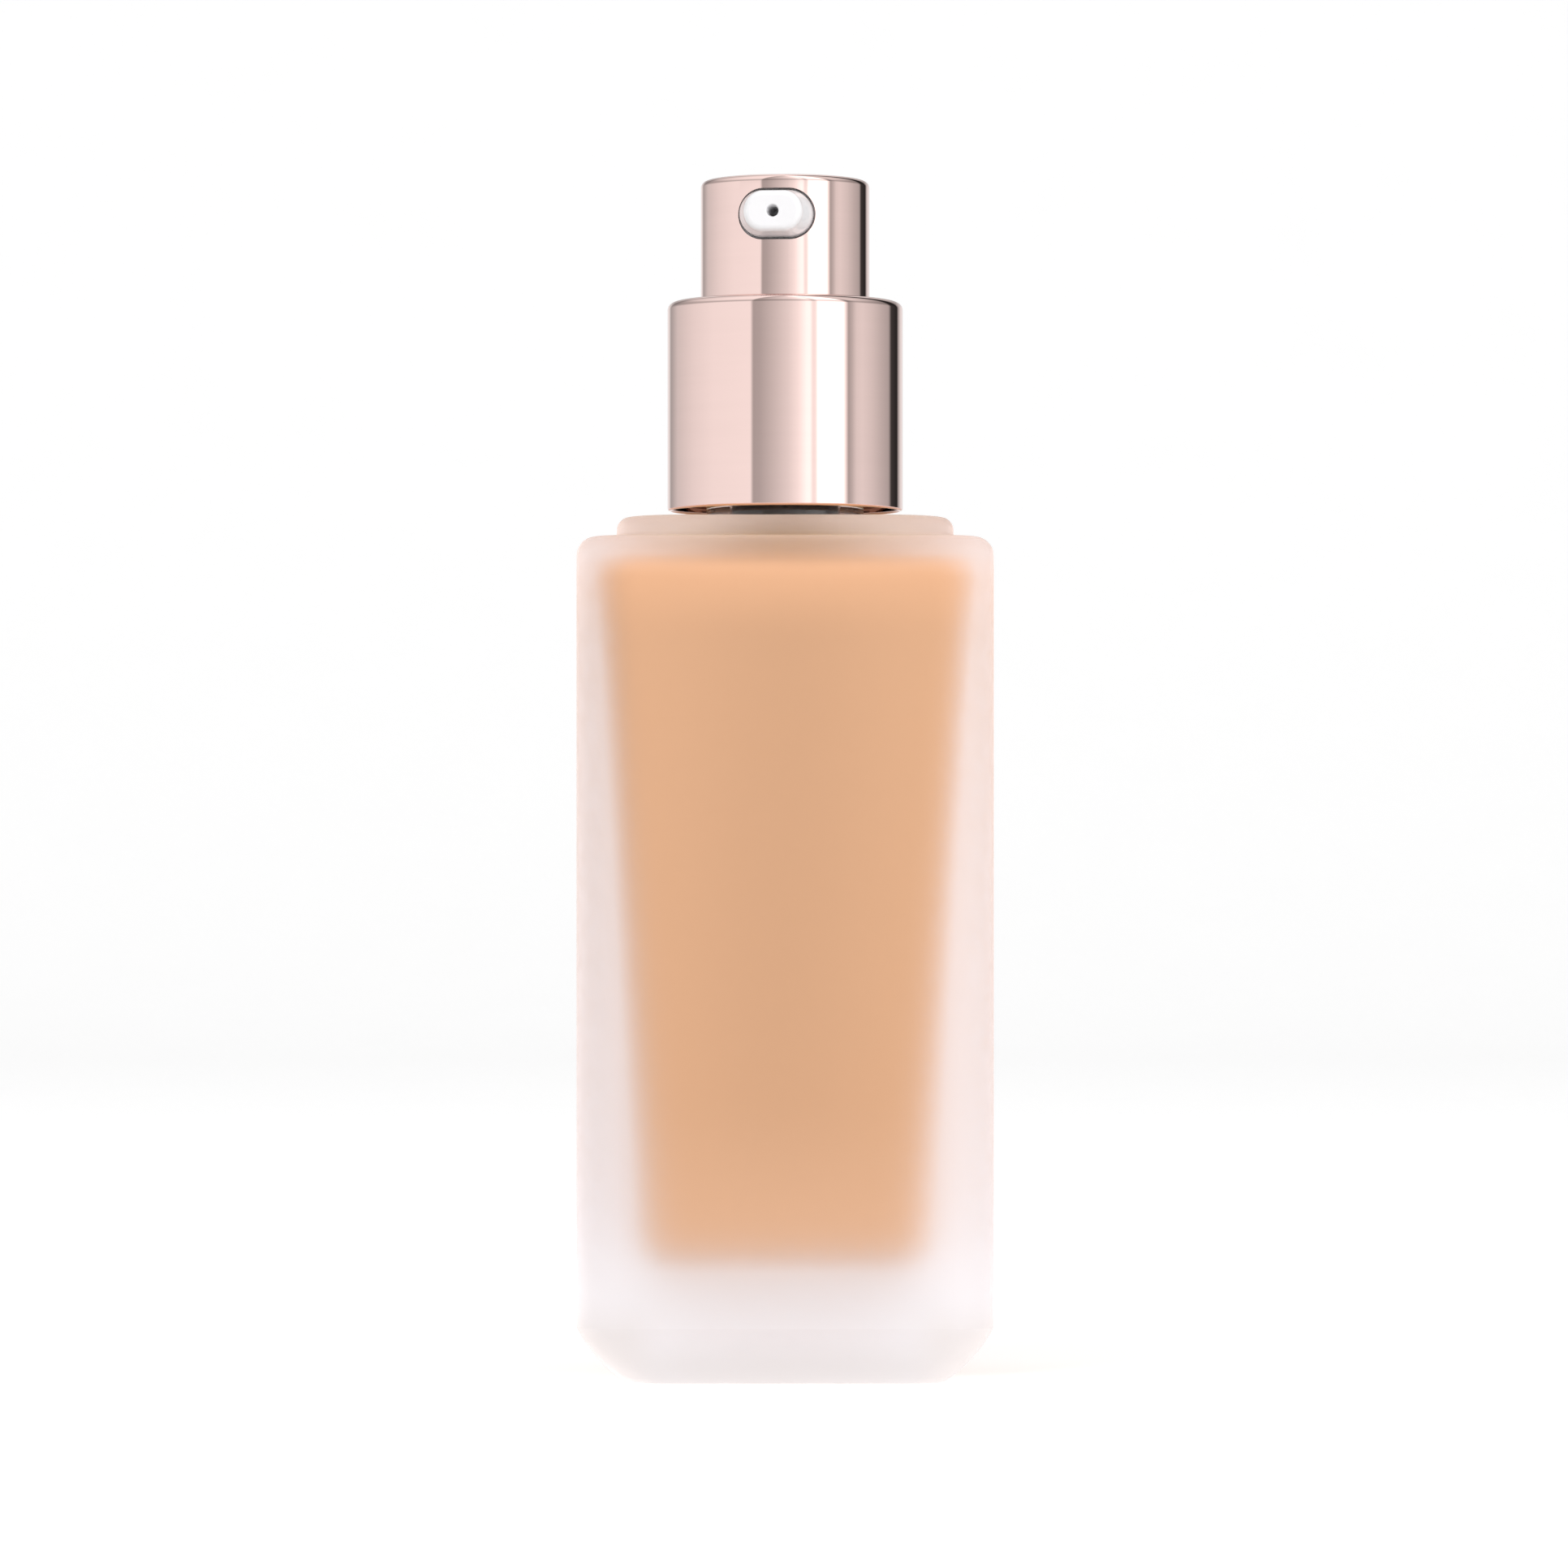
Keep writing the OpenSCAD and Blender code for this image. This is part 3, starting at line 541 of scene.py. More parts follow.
def foundation(finishes, name="foundation_cream", level=1.0):
    """Opaque, creamy liquid that wets the glass. Painted light makes it lighter towards its upright
    edges, at the foot and at the crest; a level over 1 gives a lighter copy, also painted light.
    """
    cream = shaded(finishes.foundation, level)
    nodes, shader = blank_material(name)
    swirl = nodes.noise(35, 2, stretch=(1, 1, 0.5))
    tint = nodes.tinted(nodes.between(swirl, 0, 1), shaded(cream, 0.94), shaded(cream, 0.97))
    # Painted light: lighter towards the upright edges, where light reaches the liquid from the sides
    tint = nodes.tinted(nodes.ease(nodes.aside("X"), 0, 13 * MM), tint, shaded(cream, 1.03))
    # Painted light: lighter towards the foot, for light coming up through the thick base glass
    painted_foot_light = [min(1.0, part * 1.03 + 0.045) for part in cream]
    tint = nodes.tinted(nodes.rise(26 * MM, 10 * MM), tint, painted_foot_light)
    nodes.feed(shader, {
        # Painted light: lighter towards the crest under the roof
        "Base Color": nodes.tinted(nodes.rise(64 * MM, 71 * MM), tint, shaded(cream, 1.2)),
        "Roughness": nodes.between(swirl, 0.42, 0.5), "Specular IOR Level": 0.15})
    return nodes.owner


def rose_gold(finishes, name="anodised_rose_gold", level=1.0):
    """Polished anodised aluminium with faint drawing marks round the piece, made once. A level under
    1 gives a darker copy: painted shade.
    """
    known = bpy.data.materials.get(name)
    if known:
        return known
    nodes, shader = blank_material(name)
    marks = nodes.noise(220, 3, stretch=(0.4, 0.4, 6))
    nodes.feed(shader, {
        "Base Color": nodes.tinted(
            nodes.between(marks, 0, 1), shaded(finishes.rose_gold, 0.99 * level),
            shaded(finishes.rose_gold, 1.005 * level)),
        "Roughness": nodes.between(marks, finishes.polish * 0.7, finishes.polish * 1.3),
        "Metallic": 1.0})
    return nodes.owner


def plastic(name, base, roughness, grain_scale=300, depth=0.004 * MM, coat=0.0):
    """Moulded plastic with a little variation in colour and gloss."""
    nodes, shader = blank_material(name)
    grain = nodes.noise(grain_scale, 3)
    patches = nodes.between(nodes.noise(90, 2), 0, 1)
    nodes.feed(shader, {
        "Base Color": nodes.tinted(patches, shaded(base, 0.97), shaded(base, 1.02)),
        "Roughness": nodes.between(grain, roughness * 0.85, roughness * 1.15),
        "IOR": PLASTIC_INDEX, "Coat Weight": coat, "Coat Roughness": 0.05,
        "Normal": nodes.bump(grain, depth)})
    return nodes.owner


def steel(finishes, name="bright_steel"):
    """Bright drawn stainless."""
    nodes, shader = blank_material(name)
    marks = nodes.noise(600, 2)
    nodes.feed(shader, {
        "Base Color": nodes.tinted(
            nodes.between(marks, 0, 1), shaded(finishes.steel, 0.95),
            shaded(finishes.steel, 1.05)),
        "Roughness": nodes.between(marks, 0.15, 0.25), "Metallic": 1.0})
    return nodes.owner


# ---------------------------------------------------------------- pieces

def heel_rows(sizes):
    """Widths and heights from the upright sides down to the base."""
    rows = []
    for i in range(2 * ROUND_STEPS + 1):
        turn = radians(90 - 90 * i / (2 * ROUND_STEPS))
        out = sin(turn) ** (2 / sizes.heel_power)
        down = max(cos(turn), 0) ** (2 / sizes.heel_power)
        rows.append((sizes.width - 2 * sizes.heel_inset * (1 - out), sizes.heel_rise * (1 - down)))
    return rows


def edge_rows(width, radius, top):
    """Widths and heights over a rounded edge that ends level at the top."""
    turns = [radians(90 * i / ROUND_STEPS) for i in range(ROUND_STEPS + 1)]
    return [(width - 2 * radius * (1 - cos(turn)), top - radius * (1 - sin(turn)))
            for turn in turns]


def foot_rows(width, inset, rise, bottom, steps):
    """Widths and heights up a rounded foot that starts level at the bottom."""
    turns = [radians(90 * i / steps) for i in range(steps + 1)]
    return [(width - 2 * inset * (1 - sin(turn)), bottom + rise * (1 - cos(turn)))
            for turn in turns]


def cavity_rows(sizes, grow):
    """Widths and heights of the cavity from its floor up, grown by a skin."""
    foot = sizes.width - 2 * sizes.wall_foot + 2 * grow
    top = sizes.width - 2 * sizes.wall_top + 2 * grow
    roof = sizes.height + sizes.plinth_height - sizes.roof - sizes.roof_slope + grow
    edge = sizes.floor_edge
    return (foot_rows(foot, edge, edge, FILL_LOW.z - grow, ROUND_STEPS)
            + edge_rows(top, sizes.roof_edge, roof))


def cavity(sizes, name, grow):
    """The cavity's walls and floor, grown by a skin, and the height at which they end."""
    rows = cavity_rows(sizes, grow)
    foot_corner = sizes.cavity_corner * 0.7
    walls = rounded_square(name, rows[0][0], foot_corner, rows[0][1])
    draw_up(rows)
    open_ends(rows[-1][1])
    bpy.ops.object.mode_set(mode="OBJECT")
    return walls, rows[-1][1]


class BOTTLE_OT_glass(bpy.types.Operator):
    """Models the heavy square bottle with its plinth, neck, thread and cavity"""
    bl_idname = "bottle.glass"
    bl_label = "Glass bottle"

    def outside(self, sizes):
        """The heel, the sides, the shoulder and the recess under the base."""
        body = rounded_square("glass_bottle_outer", sizes.width, sizes.corner, sizes.heel_rise)
        draw_up([(sizes.width, sizes.heel_rise)]
                + edge_rows(sizes.width, sizes.shoulder, sizes.height))
        select("FACE", lambda f: len(f.verts) > 4 and f.calc_center_median().z < sizes.height / 2)
        draw_up(heel_rows(sizes))
        base = sizes.width - 2 * sizes.heel_inset
        rim = 0.2 * MM
        recess, depth = sizes.recess_width, sizes.recess_depth
        draw_up([(base, 0), (recess + 2 * rim, 0), (recess + rim, rim * 0.3), (recess, rim),
                 (recess - rim, depth - rim), (recess - 2 * rim, depth)])
        open_ends(sizes.height)
        bpy.ops.object.mode_set(mode="OBJECT")
        return body

    def plinth(self, sizes):
        """The step on the shoulder, with a fillet at its foot."""
        fillet = 0.5 * MM
        foot = foot_rows(sizes.plinth, -fillet, fillet, sizes.height, 6)
        top = sizes.height + sizes.plinth_height
        step = rounded_square(
            "plinth", foot[0][0], sizes.plinth_corner + fillet, sizes.height)
        draw_up(foot + edge_rows(sizes.plinth, sizes.plinth_edge, top))
        open_ends(sizes.height, top)
        bpy.ops.object.mode_set(mode="OBJECT")
        return step

    def neck(self, sizes):
        """The bead, the neck's wall, its rounded lip and the bore."""
        foot = sizes.height + sizes.plinth_height
        lip = GLASS_HIGH.z
        soft = 0.25 * MM
        bead_top = foot + sizes.bead_height
        rows = [(sizes.bead + soft, foot), (sizes.bead, foot + soft)]
        rows += arc((sizes.bead - soft, bead_top - soft), soft, 0, 90, 4)
        rows += [(sizes.neck, bead_top)]
        rows += arc((sizes.neck - soft, lip - soft), soft, 0, 90, 5)
        rows += arc((sizes.bore + soft, lip - soft), soft, 90, 180, 5)
        roof = foot - sizes.roof
        rows += [(sizes.bore, roof + 1 * MM), (sizes.bore + 0.4 * MM, roof + 0.3 * MM),
                 (sizes.bore + 1.2 * MM, roof)]
        wall = disc("neck", rows[0][0], foot, NECK_STEPS)
        draw_up(rows)
        select("FACE", lambda f: len(f.verts) > 4)
        bpy.ops.mesh.delete(type="ONLY_FACE")
        bpy.ops.object.mode_set(mode="OBJECT")
        return wall, roof

    def thread(self, sizes):
        """The ridge round the neck: a small wedge, swept up and round."""
        root = 0.3 * MM
        half_foot, half_crest = 0.75 * MM, 0.3 * MM
        turns, under_lip = sizes.thread_turns, 2.2 * MM
        start = GLASS_HIGH.z - under_lip - turns * sizes.thread_pitch
        inner, crest = sizes.neck - root, sizes.neck + sizes.thread_depth
        ridge = drawn("thread", [
            (inner, start - half_foot), (crest, start - half_crest),
            (crest, start + half_crest), (inner, start + half_foot)])
        bpy.ops.object.mode_set(mode="OBJECT")
        steps = int(NECK_STEPS * turns)
        apply_modifier(
            ridge, "SCREW", angle=2 * pi * turns, screw_offset=sizes.thread_pitch * turns,
            steps=steps, render_steps=steps, use_merge_vertices=False)
        bpy.ops.object.mode_set(mode="EDIT")
        bpy.ops.mesh.select_all(action="SELECT")
        bpy.ops.mesh.fill_holes(sides=4)
        tidy()
        return ridge

    def execute(self, context):
        sizes, finishes = context.scene.bottle_sizes, context.scene.bottle_finishes
        body, step = self.outside(sizes), self.plinth(sizes)
        wall, roof = self.neck(sizes)
        inside, cavity_top = cavity(sizes, "cavity", 0)
        join(body, step, wall, inside)
        shoulder, plinth_top = sizes.height, sizes.height + sizes.plinth_height

        def wide(rim, narrower, wider):
            """A test for an open rim whose vertices lie between two radii."""
            level = level_rim(rim)
            return lambda edge: level(edge) and all(
                narrower < Vector(v.co.xy).length < wider for v in edge.verts)

        outer = sizes.width / 2 - sizes.shoulder
        bridge(wide(shoulder, outer - 0.1 * MM, 1), wide(shoulder, 0, outer - 0.1 * MM))
        bridge(wide(plinth_top, sizes.plinth / 2 - 1.5 * MM, 1), wide(plinth_top, 0, 10 * MM))
        bridge(level_rim(roof), level_rim(cavity_top))
        tidy()
        cut(body, self.thread(sizes), "UNION")
        body.name = body.data.name = "bottle_glass"
        # The cavity's roof and the bore carry a film of the liquid, made 1.32 times lighter as
        # painted light
        complete(body, "bottle", "frosted_glass", "glass_bottle", frosted_glass(finishes),
                 clear_glass(finishes), foundation(finishes, "foundation_film_painted_light", 1.32))
        smooth, filmed, margin = 1, 2, 0.1 * MM
        for face in body.data.polygons:
            middle = face.center
            out = max(abs(middle.x), abs(middle.y))
            if middle.z > plinth_top + NEAR:
                face.material_index = smooth
            elif out < sizes.bore + 1.5 * MM and middle.z > roof - 1 * MM:
                face.material_index = filmed
            elif (out < sizes.width / 2 - sizes.wall_top + margin
                    and FILL_LOW.z - margin < middle.z < roof + margin):
                face.material_index = filmed if middle.z > cavity_top + NEAR else smooth
        return {"FINISHED"}


class BOTTLE_OT_foundation(bpy.types.Operator):
    """Models the liquid, with the hollow that the pump and its tube take up"""
    bl_idname = "bottle.foundation"
    bl_label = "Foundation"

    def execute(self, context):
        sizes, finishes = context.scene.bottle_sizes, context.scene.bottle_finishes
        liquid, edge = cavity(sizes, "foundation_liquid", sizes.wetting)
        skin = 0.03 * MM
        barrel_wall, socket_wall, socket_floor = 0.83 * MM, 0.9 * MM, 0.4 * MM
        barrel = (CAGE_HIGH.x - CAGE_LOW.x) / 2 + barrel_wall + skin
        socket = TUBE_HIGH.x + socket_wall + skin
        shelf = TUBE_HIGH.z + socket_floor - skin
        level = sizes.height + sizes.plinth_height - sizes.roof + sizes.wetting - 0.2 * MM
        mouth = sizes.bore + 1.9 * MM
        rows = [(mouth, level), (barrel + 0.5 * MM, level - 0.2 * MM),
                (barrel + 0.35 * MM, level - 0.2 * MM), (barrel + 0.1 * MM, level - 0.3 * MM),
                (barrel, level - 0.5 * MM), (barrel, shelf), (socket, shelf),
                (socket, HOUSING_LOW.z - skin), (TUBE_HIGH.x + skin, HOUSING_LOW.z - skin),
                (TUBE_HIGH.x + skin, TUBE_LOW.z - skin)]
        hollow = disc("hollow", rows[0][0], level, 64)
        draw_up(rows)
        open_ends(level)
        bpy.ops.object.mode_set(mode="OBJECT")
        join(liquid, hollow)
        bridge(level_rim(edge), level_rim(level))
        tidy()
        complete(liquid, "bottle", "foundation", "foundation_fill", foundation(finishes))
        return {"FINISHED"}


class BOTTLE_OT_collar(bpy.types.Operator):
    """Turns the metal collar with its rolled top edge"""
    bl_idname = "bottle.collar"
    bl_label = "Collar"

    def execute(self, context):
        sizes, finishes = context.scene.pump_sizes, context.scene.bottle_finishes
        low, high = COLLAR_LOW.z, COLLAR_HIGH.z
        outer, inner = COLLAR_HIGH.x, COLLAR_HIGH.x - sizes.collar_sheet
        soft = sizes.collar_sheet / 2
        profile = arc((outer - soft, low + soft), soft, 180, 360, 12)
        profile += arc((outer - sizes.collar_edge, high - sizes.collar_edge),
                       sizes.collar_edge, 0, 90, 16)
        lip = sizes.sheet_edge
        profile += arc((sizes.collar_hole + lip, high - lip), lip, 90, 180, 6)
        profile += [(sizes.collar_hole, high - sizes.collar_sheet),
                    (inner, high - sizes.collar_sheet)]
        collar = turned("metal_collar", profile)
        complete(collar, "closure", "rose_gold", "collar_shell",
                 rose_gold(finishes), rose_gold(finishes, "anodised_inside_painted_shade", 0.7))
        # Faces that look inwards get the darker copy of the metal: painted shade inside the collar
        for face in collar.data.polygons:
            if Vector(face.center.xy).dot(Vector(face.normal.xy)) < -0.5 * face.center.xy.length:
                face.material_index = 1
        return {"FINISHED"}


def slot_cutter(name, width, height, middle, near, far):
    """A solid slot with round ends that runs forwards from near to far."""
    piece = begin(bpy.ops.mesh.primitive_plane_add, name, size=1,
                  location=(0, near, middle), rotation=(pi / 2, 0, 0))
    bpy.ops.transform.resize(value=(width, 1, height), center_override=(0, near, middle))
    bpy.ops.mesh.bevel(
        offset=height / 2 * 0.9999, affect="VERTICES", segments=24, profile=0.5)
    bpy.ops.mesh.remove_doubles(threshold=MERGE)
    select("FACE", lambda face: True)
    extrude(0, far - near, 0)
    return piece


def face_nozzle_way(piece, sizes):
    """Turns a finished piece from the front to where the nozzle looks."""
    pick(piece)
    piece.rotation_euler.z = -sizes.nozzle_turn
    bpy.ops.object.transform_apply(location=True, rotation=True, scale=True)


class BOTTLE_OT_button(bpy.types.Operator):
    """Turns the button's metal shell and cuts the nozzle's window in it"""
    bl_idname = "bottle.button"
    bl_label = "Button"

    def execute(self, context):
        sizes, finishes = context.scene.pump_sizes, context.scene.bottle_finishes
        low, high = BUTTON_LOW.z, BUTTON_HIGH.z
        outer, inner = sizes.button, sizes.button - sizes.button_sheet
        profile = [(0, high)]
        profile += list(reversed(arc(
            (outer - sizes.button_edge, high - sizes.button_edge), sizes.button_edge, 0, 90, 16)))
        profile += [(outer, low + sizes.sheet_edge), (outer - sizes.sheet_edge, low),
                    (inner, low), (inner, high - sizes.button_sheet), (0, high - sizes.button_sheet)]
        shell = turned("metal_button", profile)
        middle = high - sizes.window_roof - sizes.window_height / 2
        window = slot_cutter("window", sizes.window_width, sizes.window_height, middle,
                             -sizes.button / 2, -2 * sizes.button)
        tidy()
        cut(shell, window)
        face_nozzle_way(shell, sizes)
        complete(shell, "actuator", "rose_gold", "button_shell", rose_gold(finishes))
        return {"FINISHED"}


class BOTTLE_OT_nozzle(bpy.types.Operator):
    """Models the white spout with its rounded brow and outlet"""
    bl_idname = "bottle.nozzle"
    bl_label = "Nozzle"

    def execute(self, context):
        sizes, finishes = context.scene.pump_sizes, context.scene.bottle_finishes
        middle = BUTTON_HIGH.z - sizes.window_roof - sizes.window_height / 2
        width = sizes.window_width - 2 * sizes.nozzle_gap
        height = sizes.window_height - 2 * sizes.nozzle_gap
        root, front, shell = -4.4 * MM, -sizes.nozzle_reach, -sizes.button
        spout = slot_cutter("nozzle_spout", width, height, middle, root, shell)
        rows = [(width, height, shell)]
        brow, flare = 0.55 * MM, 6
        tip_width, tip_height = sizes.tip_width + 0.5 * MM, sizes.tip_height + 0.5 * MM
        for i in range(1, flare + 1):
            along = i / flare
            turn = radians(90 * along)
            ease = 0.35 * sin(turn) + 0.65 * (1 - cos(turn))
            rows.append((width + (tip_width - width) * ease, height + (tip_height - height) * ease,
                         shell + (front + brow - shell) * along))
        for i in range(1, ROUND_STEPS + 1):
            turn = radians(90 * i / ROUND_STEPS)
            drop = 2 * brow * (1 - cos(turn))
            rows.append((tip_width - drop, tip_height - drop, front + brow * (1 - sin(turn))))
        for (w, h, y), (next_w, next_h, next_y) in zip(rows, rows[1:]):
            extrude(0, next_y - y, 0)
            bpy.ops.transform.resize(
                value=(next_w / w, 1, next_h / h), center_override=(0, next_y, middle))
        tidy()
        taper, spare, channel = 1 * MM, 0.2 * MM, 3.5 * MM
        narrowing = (sizes.orifice - sizes.throat) / taper
        outlet = begin(
            bpy.ops.mesh.primitive_cone_add, "outlet", vertices=64, radius1=sizes.throat,
            radius2=sizes.orifice + narrowing * spare, depth=taper + spare,
            location=(0, front + (taper - spare) / 2, middle), rotation=(pi / 2, 0, 0))
        select("FACE", lambda f: len(f.verts) > 4 and f.calc_center_median().y > front + taper / 2)
        extrude(0, channel, 0)
        tidy()
        cut(spout, outlet)
        bpy.ops.object.mode_set(mode="EDIT")
        select("EDGE", lambda e: all(
            abs(v.co.y - front) < NEAR
            and Vector((v.co.x, v.co.z - middle)).length < sizes.orifice * 1.05
            for v in e.verts))
        bpy.ops.mesh.bevel(offset=0.1 * MM, affect="EDGES", segments=5, profile=0.5)
        tidy()
        face_nozzle_way(spout, sizes)
        complete(spout, "actuator", "gloss_white", "nozzle",
                 plastic("nozzle_white", finishes.gloss, 0.14, 500, 0.002 * MM, 0.4))
        return {"FINISHED"}


class BOTTLE_OT_spring(bpy.types.Operator):
    """Winds the return spring, which in the pump shortens as the button goes down; here it keeps its
    length and is tied to no body
    """
    bl_idname = "bottle.spring"
    bl_label = "Return spring"

    def execute(self, context):
        sizes, finishes = context.scene.pump_sizes, context.scene.bottle_finishes
        wire, coils, steps = sizes.spring_wire, sizes.spring_coils, 24
        low, high = SPRING_LOW.z + wire / 2, SPRING_HIGH.z - wire / 2
        lead = (high - low - 2 * wire) / coils
        coil = begin(
            bpy.ops.mesh.primitive_circle_add, "spring_coil", vertices=12, radius=wire / 2,
            location=(SPRING_HIGH.x - wire / 2, 0, low), rotation=(pi / 2, 0, 0),
            fill_type="NGON")
        select("FACE", lambda face: True)
        # The closed coil at each end rises by a wire's thickness, and the others by the lead.
        for climb in (wire, *(lead,) * coils, wire):
            for _ in range(steps):
                extrude(0, 0, climb / steps)
                bpy.ops.transform.rotate(
                    value=-2 * pi / steps, orient_axis="Z", center_override=(0, 0, 0))
        tidy()
        complete(coil, None, "steel", "return_spring", steel(finishes, "spring_steel"))
        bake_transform(coil)
        return {"FINISHED"}


class BOTTLE_OT_works(bpy.types.Operator):
    """Gives the pump's inner pieces their finishes"""
    bl_idname = "bottle.works"
    bl_label = "Inner pieces"

    def execute(self, context):
        finishes = context.scene.bottle_finishes
        white = plastic("white_moulding", finishes.white, 0.38)
        natural = plastic("natural_moulding", finishes.natural, 0.32)
        # The dark moulding paints the shade in the neck under the collar onto the pump housing
        dark = plastic("housing_painted_shade", finishes.dark, 0.4)
        foam = plastic("foamed_liner", finishes.white, 0.7, 1500, 0.02 * MM)
        rubber = plastic("elastomer", finishes.rubber, 0.55)
        metal = steel(finishes)
        finish_of = {
            "screw_closure": white, "collar_liner": white, "button_core": white,
            "turret_cap": white, "pump_stem": white, "piston_rod": white, "ball_cage": white,
            "pump_housing": dark, "dip_tube": natural, "piston": natural,
            "neck_gasket": foam, "stem_seal": rubber, "inlet_ball": metal,
        }
        for node, material in finish_of.items():
            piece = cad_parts[node]
            piece.data.materials.clear()
            piece.data.materials.append(material)
        return {"FINISHED"}


# ---------------------------------------------------------------- stage

# The studio seen from the bottle: (angle from the front in degrees, towards the right, and
# brightness). Soft boxes stand left and right, dark room in front, a black flag behind right.
STUDIO = (
    (-180, 0.95), (-159, 0.87), (-150, 0.40), (-143, 0.49), (-131, 0.68), (-100, 0.87),
    (-75, 0.97), (-34, 1.01), (-31.5, 0.44), (-25, 0.47), (-10, 0.66), (3, 0.84),
    (13, 1.05), (21, 1.36), (24.5, 1.38), (27, 1.02), (30, 1.08), (32.5, 1.7), (58.5, 1.7),
    (61.5, 1.05), (64.5, 0.43), (68.5, 0.55), (74, 0.78), (81, 0.82), (94, 0.72), (109, 0.56),
    (122, 0.45), (127, 0.05), (142.5, 0.02), (150, 0.60), (157, 0.83), (180, 0.9),
)
# Half the brightness of the studio, from straight down, 0, to straight up, 1.
STUDIO_HEIGHTS = (
    (0.0, 0.3), (0.4, 0.36), (0.47, 0.5), (0.56, 0.5), (0.6, 0.40), (0.66, 0.26), (0.74, 0.34),
    (0.8, 0.5), (1.0, 0.55),
)
LAMPS_LOOK_AT = Vector((0, 0, 0.055))


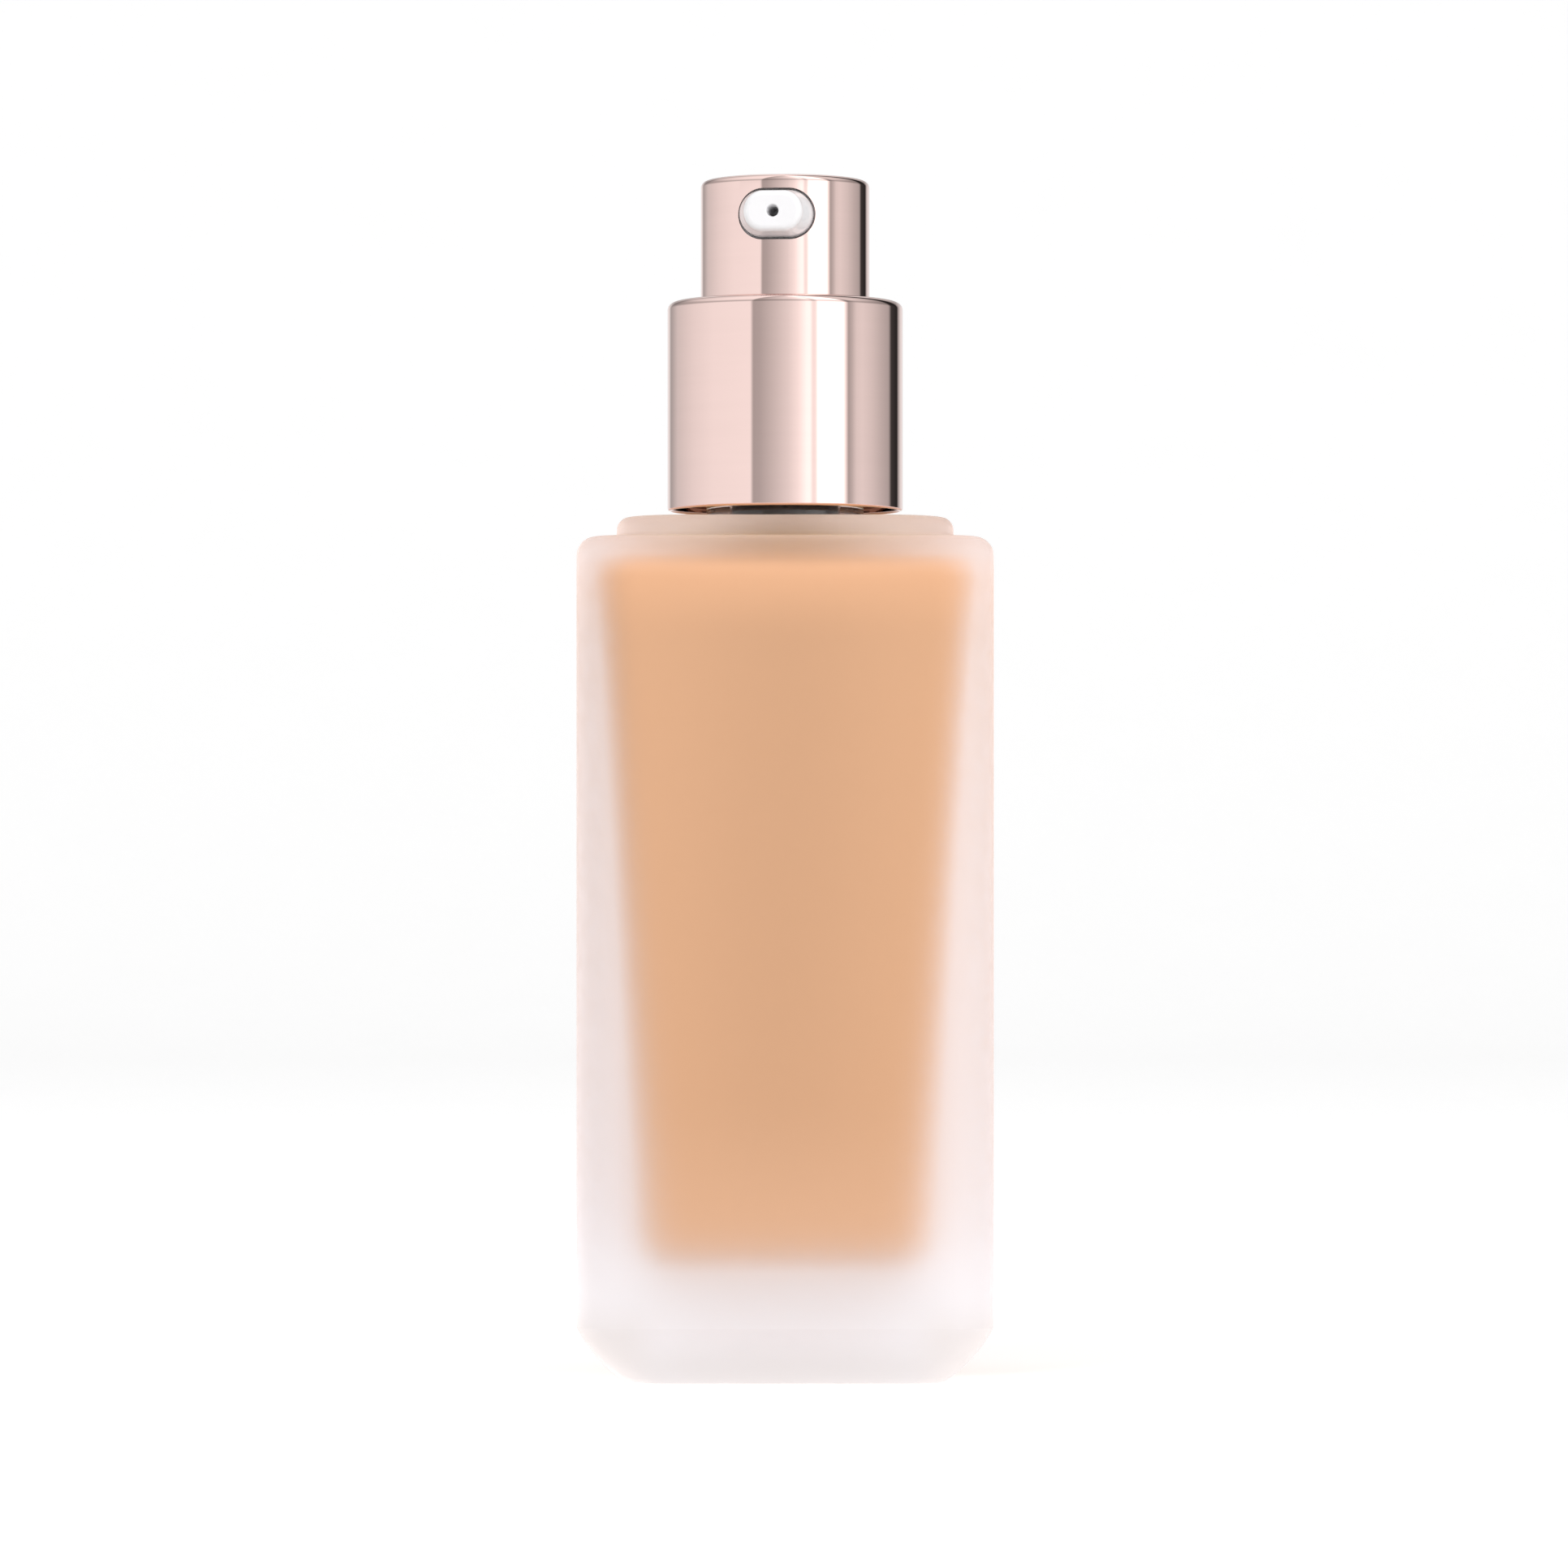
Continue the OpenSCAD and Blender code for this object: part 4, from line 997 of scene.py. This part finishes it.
class BOTTLE_OT_stage(bpy.types.Operator):
    """Sets the camera, the floor that curves up into a backdrop, and the studio light"""
    bl_idname = "bottle.stage"
    bl_label = "Camera, floor and light"

    def camera(self, stage):
        bpy.ops.object.camera_add(
            location=(stage.side, -stage.distance, stage.eye), rotation=(pi / 2, 0, 0))
        camera = bpy.context.object
        camera.name = "camera"
        camera.data.lens = stage.lens
        camera.data.shift_y = stage.lift
        camera.data.clip_start = 0.01
        bpy.context.scene.camera = camera

    def backdrop(self):
        """A floor whose back edge is drawn up into a wall."""
        floor = begin(bpy.ops.mesh.primitive_plane_add, "backdrop", size=3, location=(0, -0.3, 0))
        select("EDGE", lambda e: all(v.co.y > 1 for v in e.verts))
        bend, steps = 0.5, 16
        for i in range(steps):
            first, last = radians(90 * i / steps), radians(90 * (i + 1) / steps)
            extrude(0, bend * (sin(last) - sin(first)), bend * (cos(first) - cos(last)))
        extrude(0, 0, 2)
        tidy()
        bpy.ops.object.shade_smooth()
        nodes, shader = blank_material("backdrop")
        seen_lift, even_level = 0.45, 1.02
        nodes.feed(shader, {
            "Base Color": nodes.tinted(nodes.noise(40, 3), (0.80,) * 3, (0.82,) * 3),
            "Roughness": 0.9, "Specular IOR Level": 0.0, "Emission Color": (1, 1, 1),
            "Emission Strength": nodes.math("MULTIPLY", nodes.ray("Camera"), seen_lift)})
        even = nodes.add("Emission", {"Strength": even_level})
        nodes.surface(nodes.mixed_shaders(
            nodes.ray("Transmission"), shader.outputs["BSDF"], even))
        floor.data.materials.append(nodes.owner)
        floor.visible_glossy = False

    def room(self, stage):
        """The world: even light, white to the eye, and upright studio panels in reflections."""
        world = bpy.data.worlds.new("studio")
        bpy.context.scene.world = world
        nodes = Network(world)
        sight = nodes.add("TexCoord", output="Generated")
        right, back, up = (nodes.add("SeparateXYZ", {"Vector": sight}, axis) for axis in "XYZ")
        bearing = nodes.math("ARCTAN2", right, nodes.math("MULTIPLY", back, -1))
        turn = nodes.add("MapRange", {"Value": bearing, "From Min": -pi, "From Max": pi})
        tilt = nodes.add("MapRange", {"Value": up, "From Min": -1})
        panels = self.ramp(nodes, turn, [((deg + 180) / 360, level / 2) for deg, level in STUDIO])
        heights = self.ramp(nodes, tilt, STUDIO_HEIGHTS)
        # Both ramps hold half of their brightness, because a ramp goes no higher than 1.
        mirrored = nodes.math("MULTIPLY", nodes.math("MULTIPLY", panels, heights), 4)
        levels = stage.ambient
        for kind, level in (("Glossy", mirrored), ("Transmission", 0.92), ("Camera", 1.0)):
            levels = nodes.add(
                "Mix", {"Factor": nodes.ray(kind), "A": levels, "B": level}, "Result",
                data_type="FLOAT")
        nodes.feed(nodes.find("BACKGROUND"), {"Color": (1, 1, 1), "Strength": levels})

    def ramp(self, nodes, place, stops):
        """A grey colour ramp through (place, level) stops."""
        output = nodes.add("ValToRGB", {"Fac": place}, "Color")
        points = output.node.color_ramp.elements
        while len(points) > 1:
            points.remove(points[-1])
        points[0].position, level = stops[0]
        points[0].color = (level, level, level, 1)
        for position, level in stops[1:]:
            points.new(position).color = (level, level, level, 1)
        return output

    def lamp(self, name, place, size, power):
        """A soft box that looks at the middle of the bottle and isn't mirrored itself."""
        bpy.ops.object.light_add(type="AREA", location=place)
        lamp = bpy.context.object
        lamp.name = name
        aim = LAMPS_LOOK_AT - Vector(place)
        lamp.rotation_euler = aim.to_track_quat("-Z", "Y").to_euler()
        lamp.data.shape = "RECTANGLE"
        lamp.data.size, lamp.data.size_y = size
        lamp.data.energy = power
        lamp.visible_glossy = False
        lamp.visible_camera = False

    def execute(self, context):
        stage = context.scene.bottle_stage
        bpy.context.scene.view_settings.view_transform = "Standard"
        self.camera(stage)
        self.backdrop()
        self.room(stage)
        self.lamp("key", (-0.55, -0.65, 0.75), (0.35, 0.35), 3.0)
        self.lamp("fill", (0.7, -0.55, 0.35), (0.4, 0.6), 3.3)
        return {"FINISHED"}


class BOTTLE_PT_panel(bpy.types.Panel):
    """Lists the pieces in the order in which they are made"""
    bl_label = "Foundation bottle"
    bl_space_type = "VIEW_3D"
    bl_region_type = "UI"
    bl_category = "Bottle"

    def draw(self, context):
        for step in STEPS:
            self.layout.operator(step.bl_idname)
        for group in GROUPS:
            box = self.layout.box()
            for name in GROUPS[group].__annotations__:
                box.prop(getattr(context.scene, group), name)


STEPS = (BOTTLE_OT_stage, BOTTLE_OT_glass, BOTTLE_OT_foundation, BOTTLE_OT_collar,
         BOTTLE_OT_button, BOTTLE_OT_nozzle, BOTTLE_OT_spring, BOTTLE_OT_works)
GROUPS = {"bottle_sizes": BottleSizes, "pump_sizes": PumpSizes, "bottle_finishes": Finishes,
          "bottle_stage": StageSettings}


def register():
    for group in GROUPS:
        bpy.utils.register_class(GROUPS[group])
        setattr(bpy.types.Scene, group, bpy.props.PointerProperty(type=GROUPS[group]))
    for step in (*STEPS, BOTTLE_PT_panel):
        bpy.utils.register_class(step)


def unregister():
    for step in reversed((*STEPS, BOTTLE_PT_panel)):
        bpy.utils.unregister_class(step)
    for group in GROUPS:
        delattr(bpy.types.Scene, group)
        bpy.utils.unregister_class(GROUPS[group])


def main():
    """Makes the stage and every piece in order."""
    register()
    for step in STEPS:
        space, name = step.bl_idname.split(".")
        getattr(getattr(bpy.ops, space), name)()


if __name__ == "__main__":
    main()
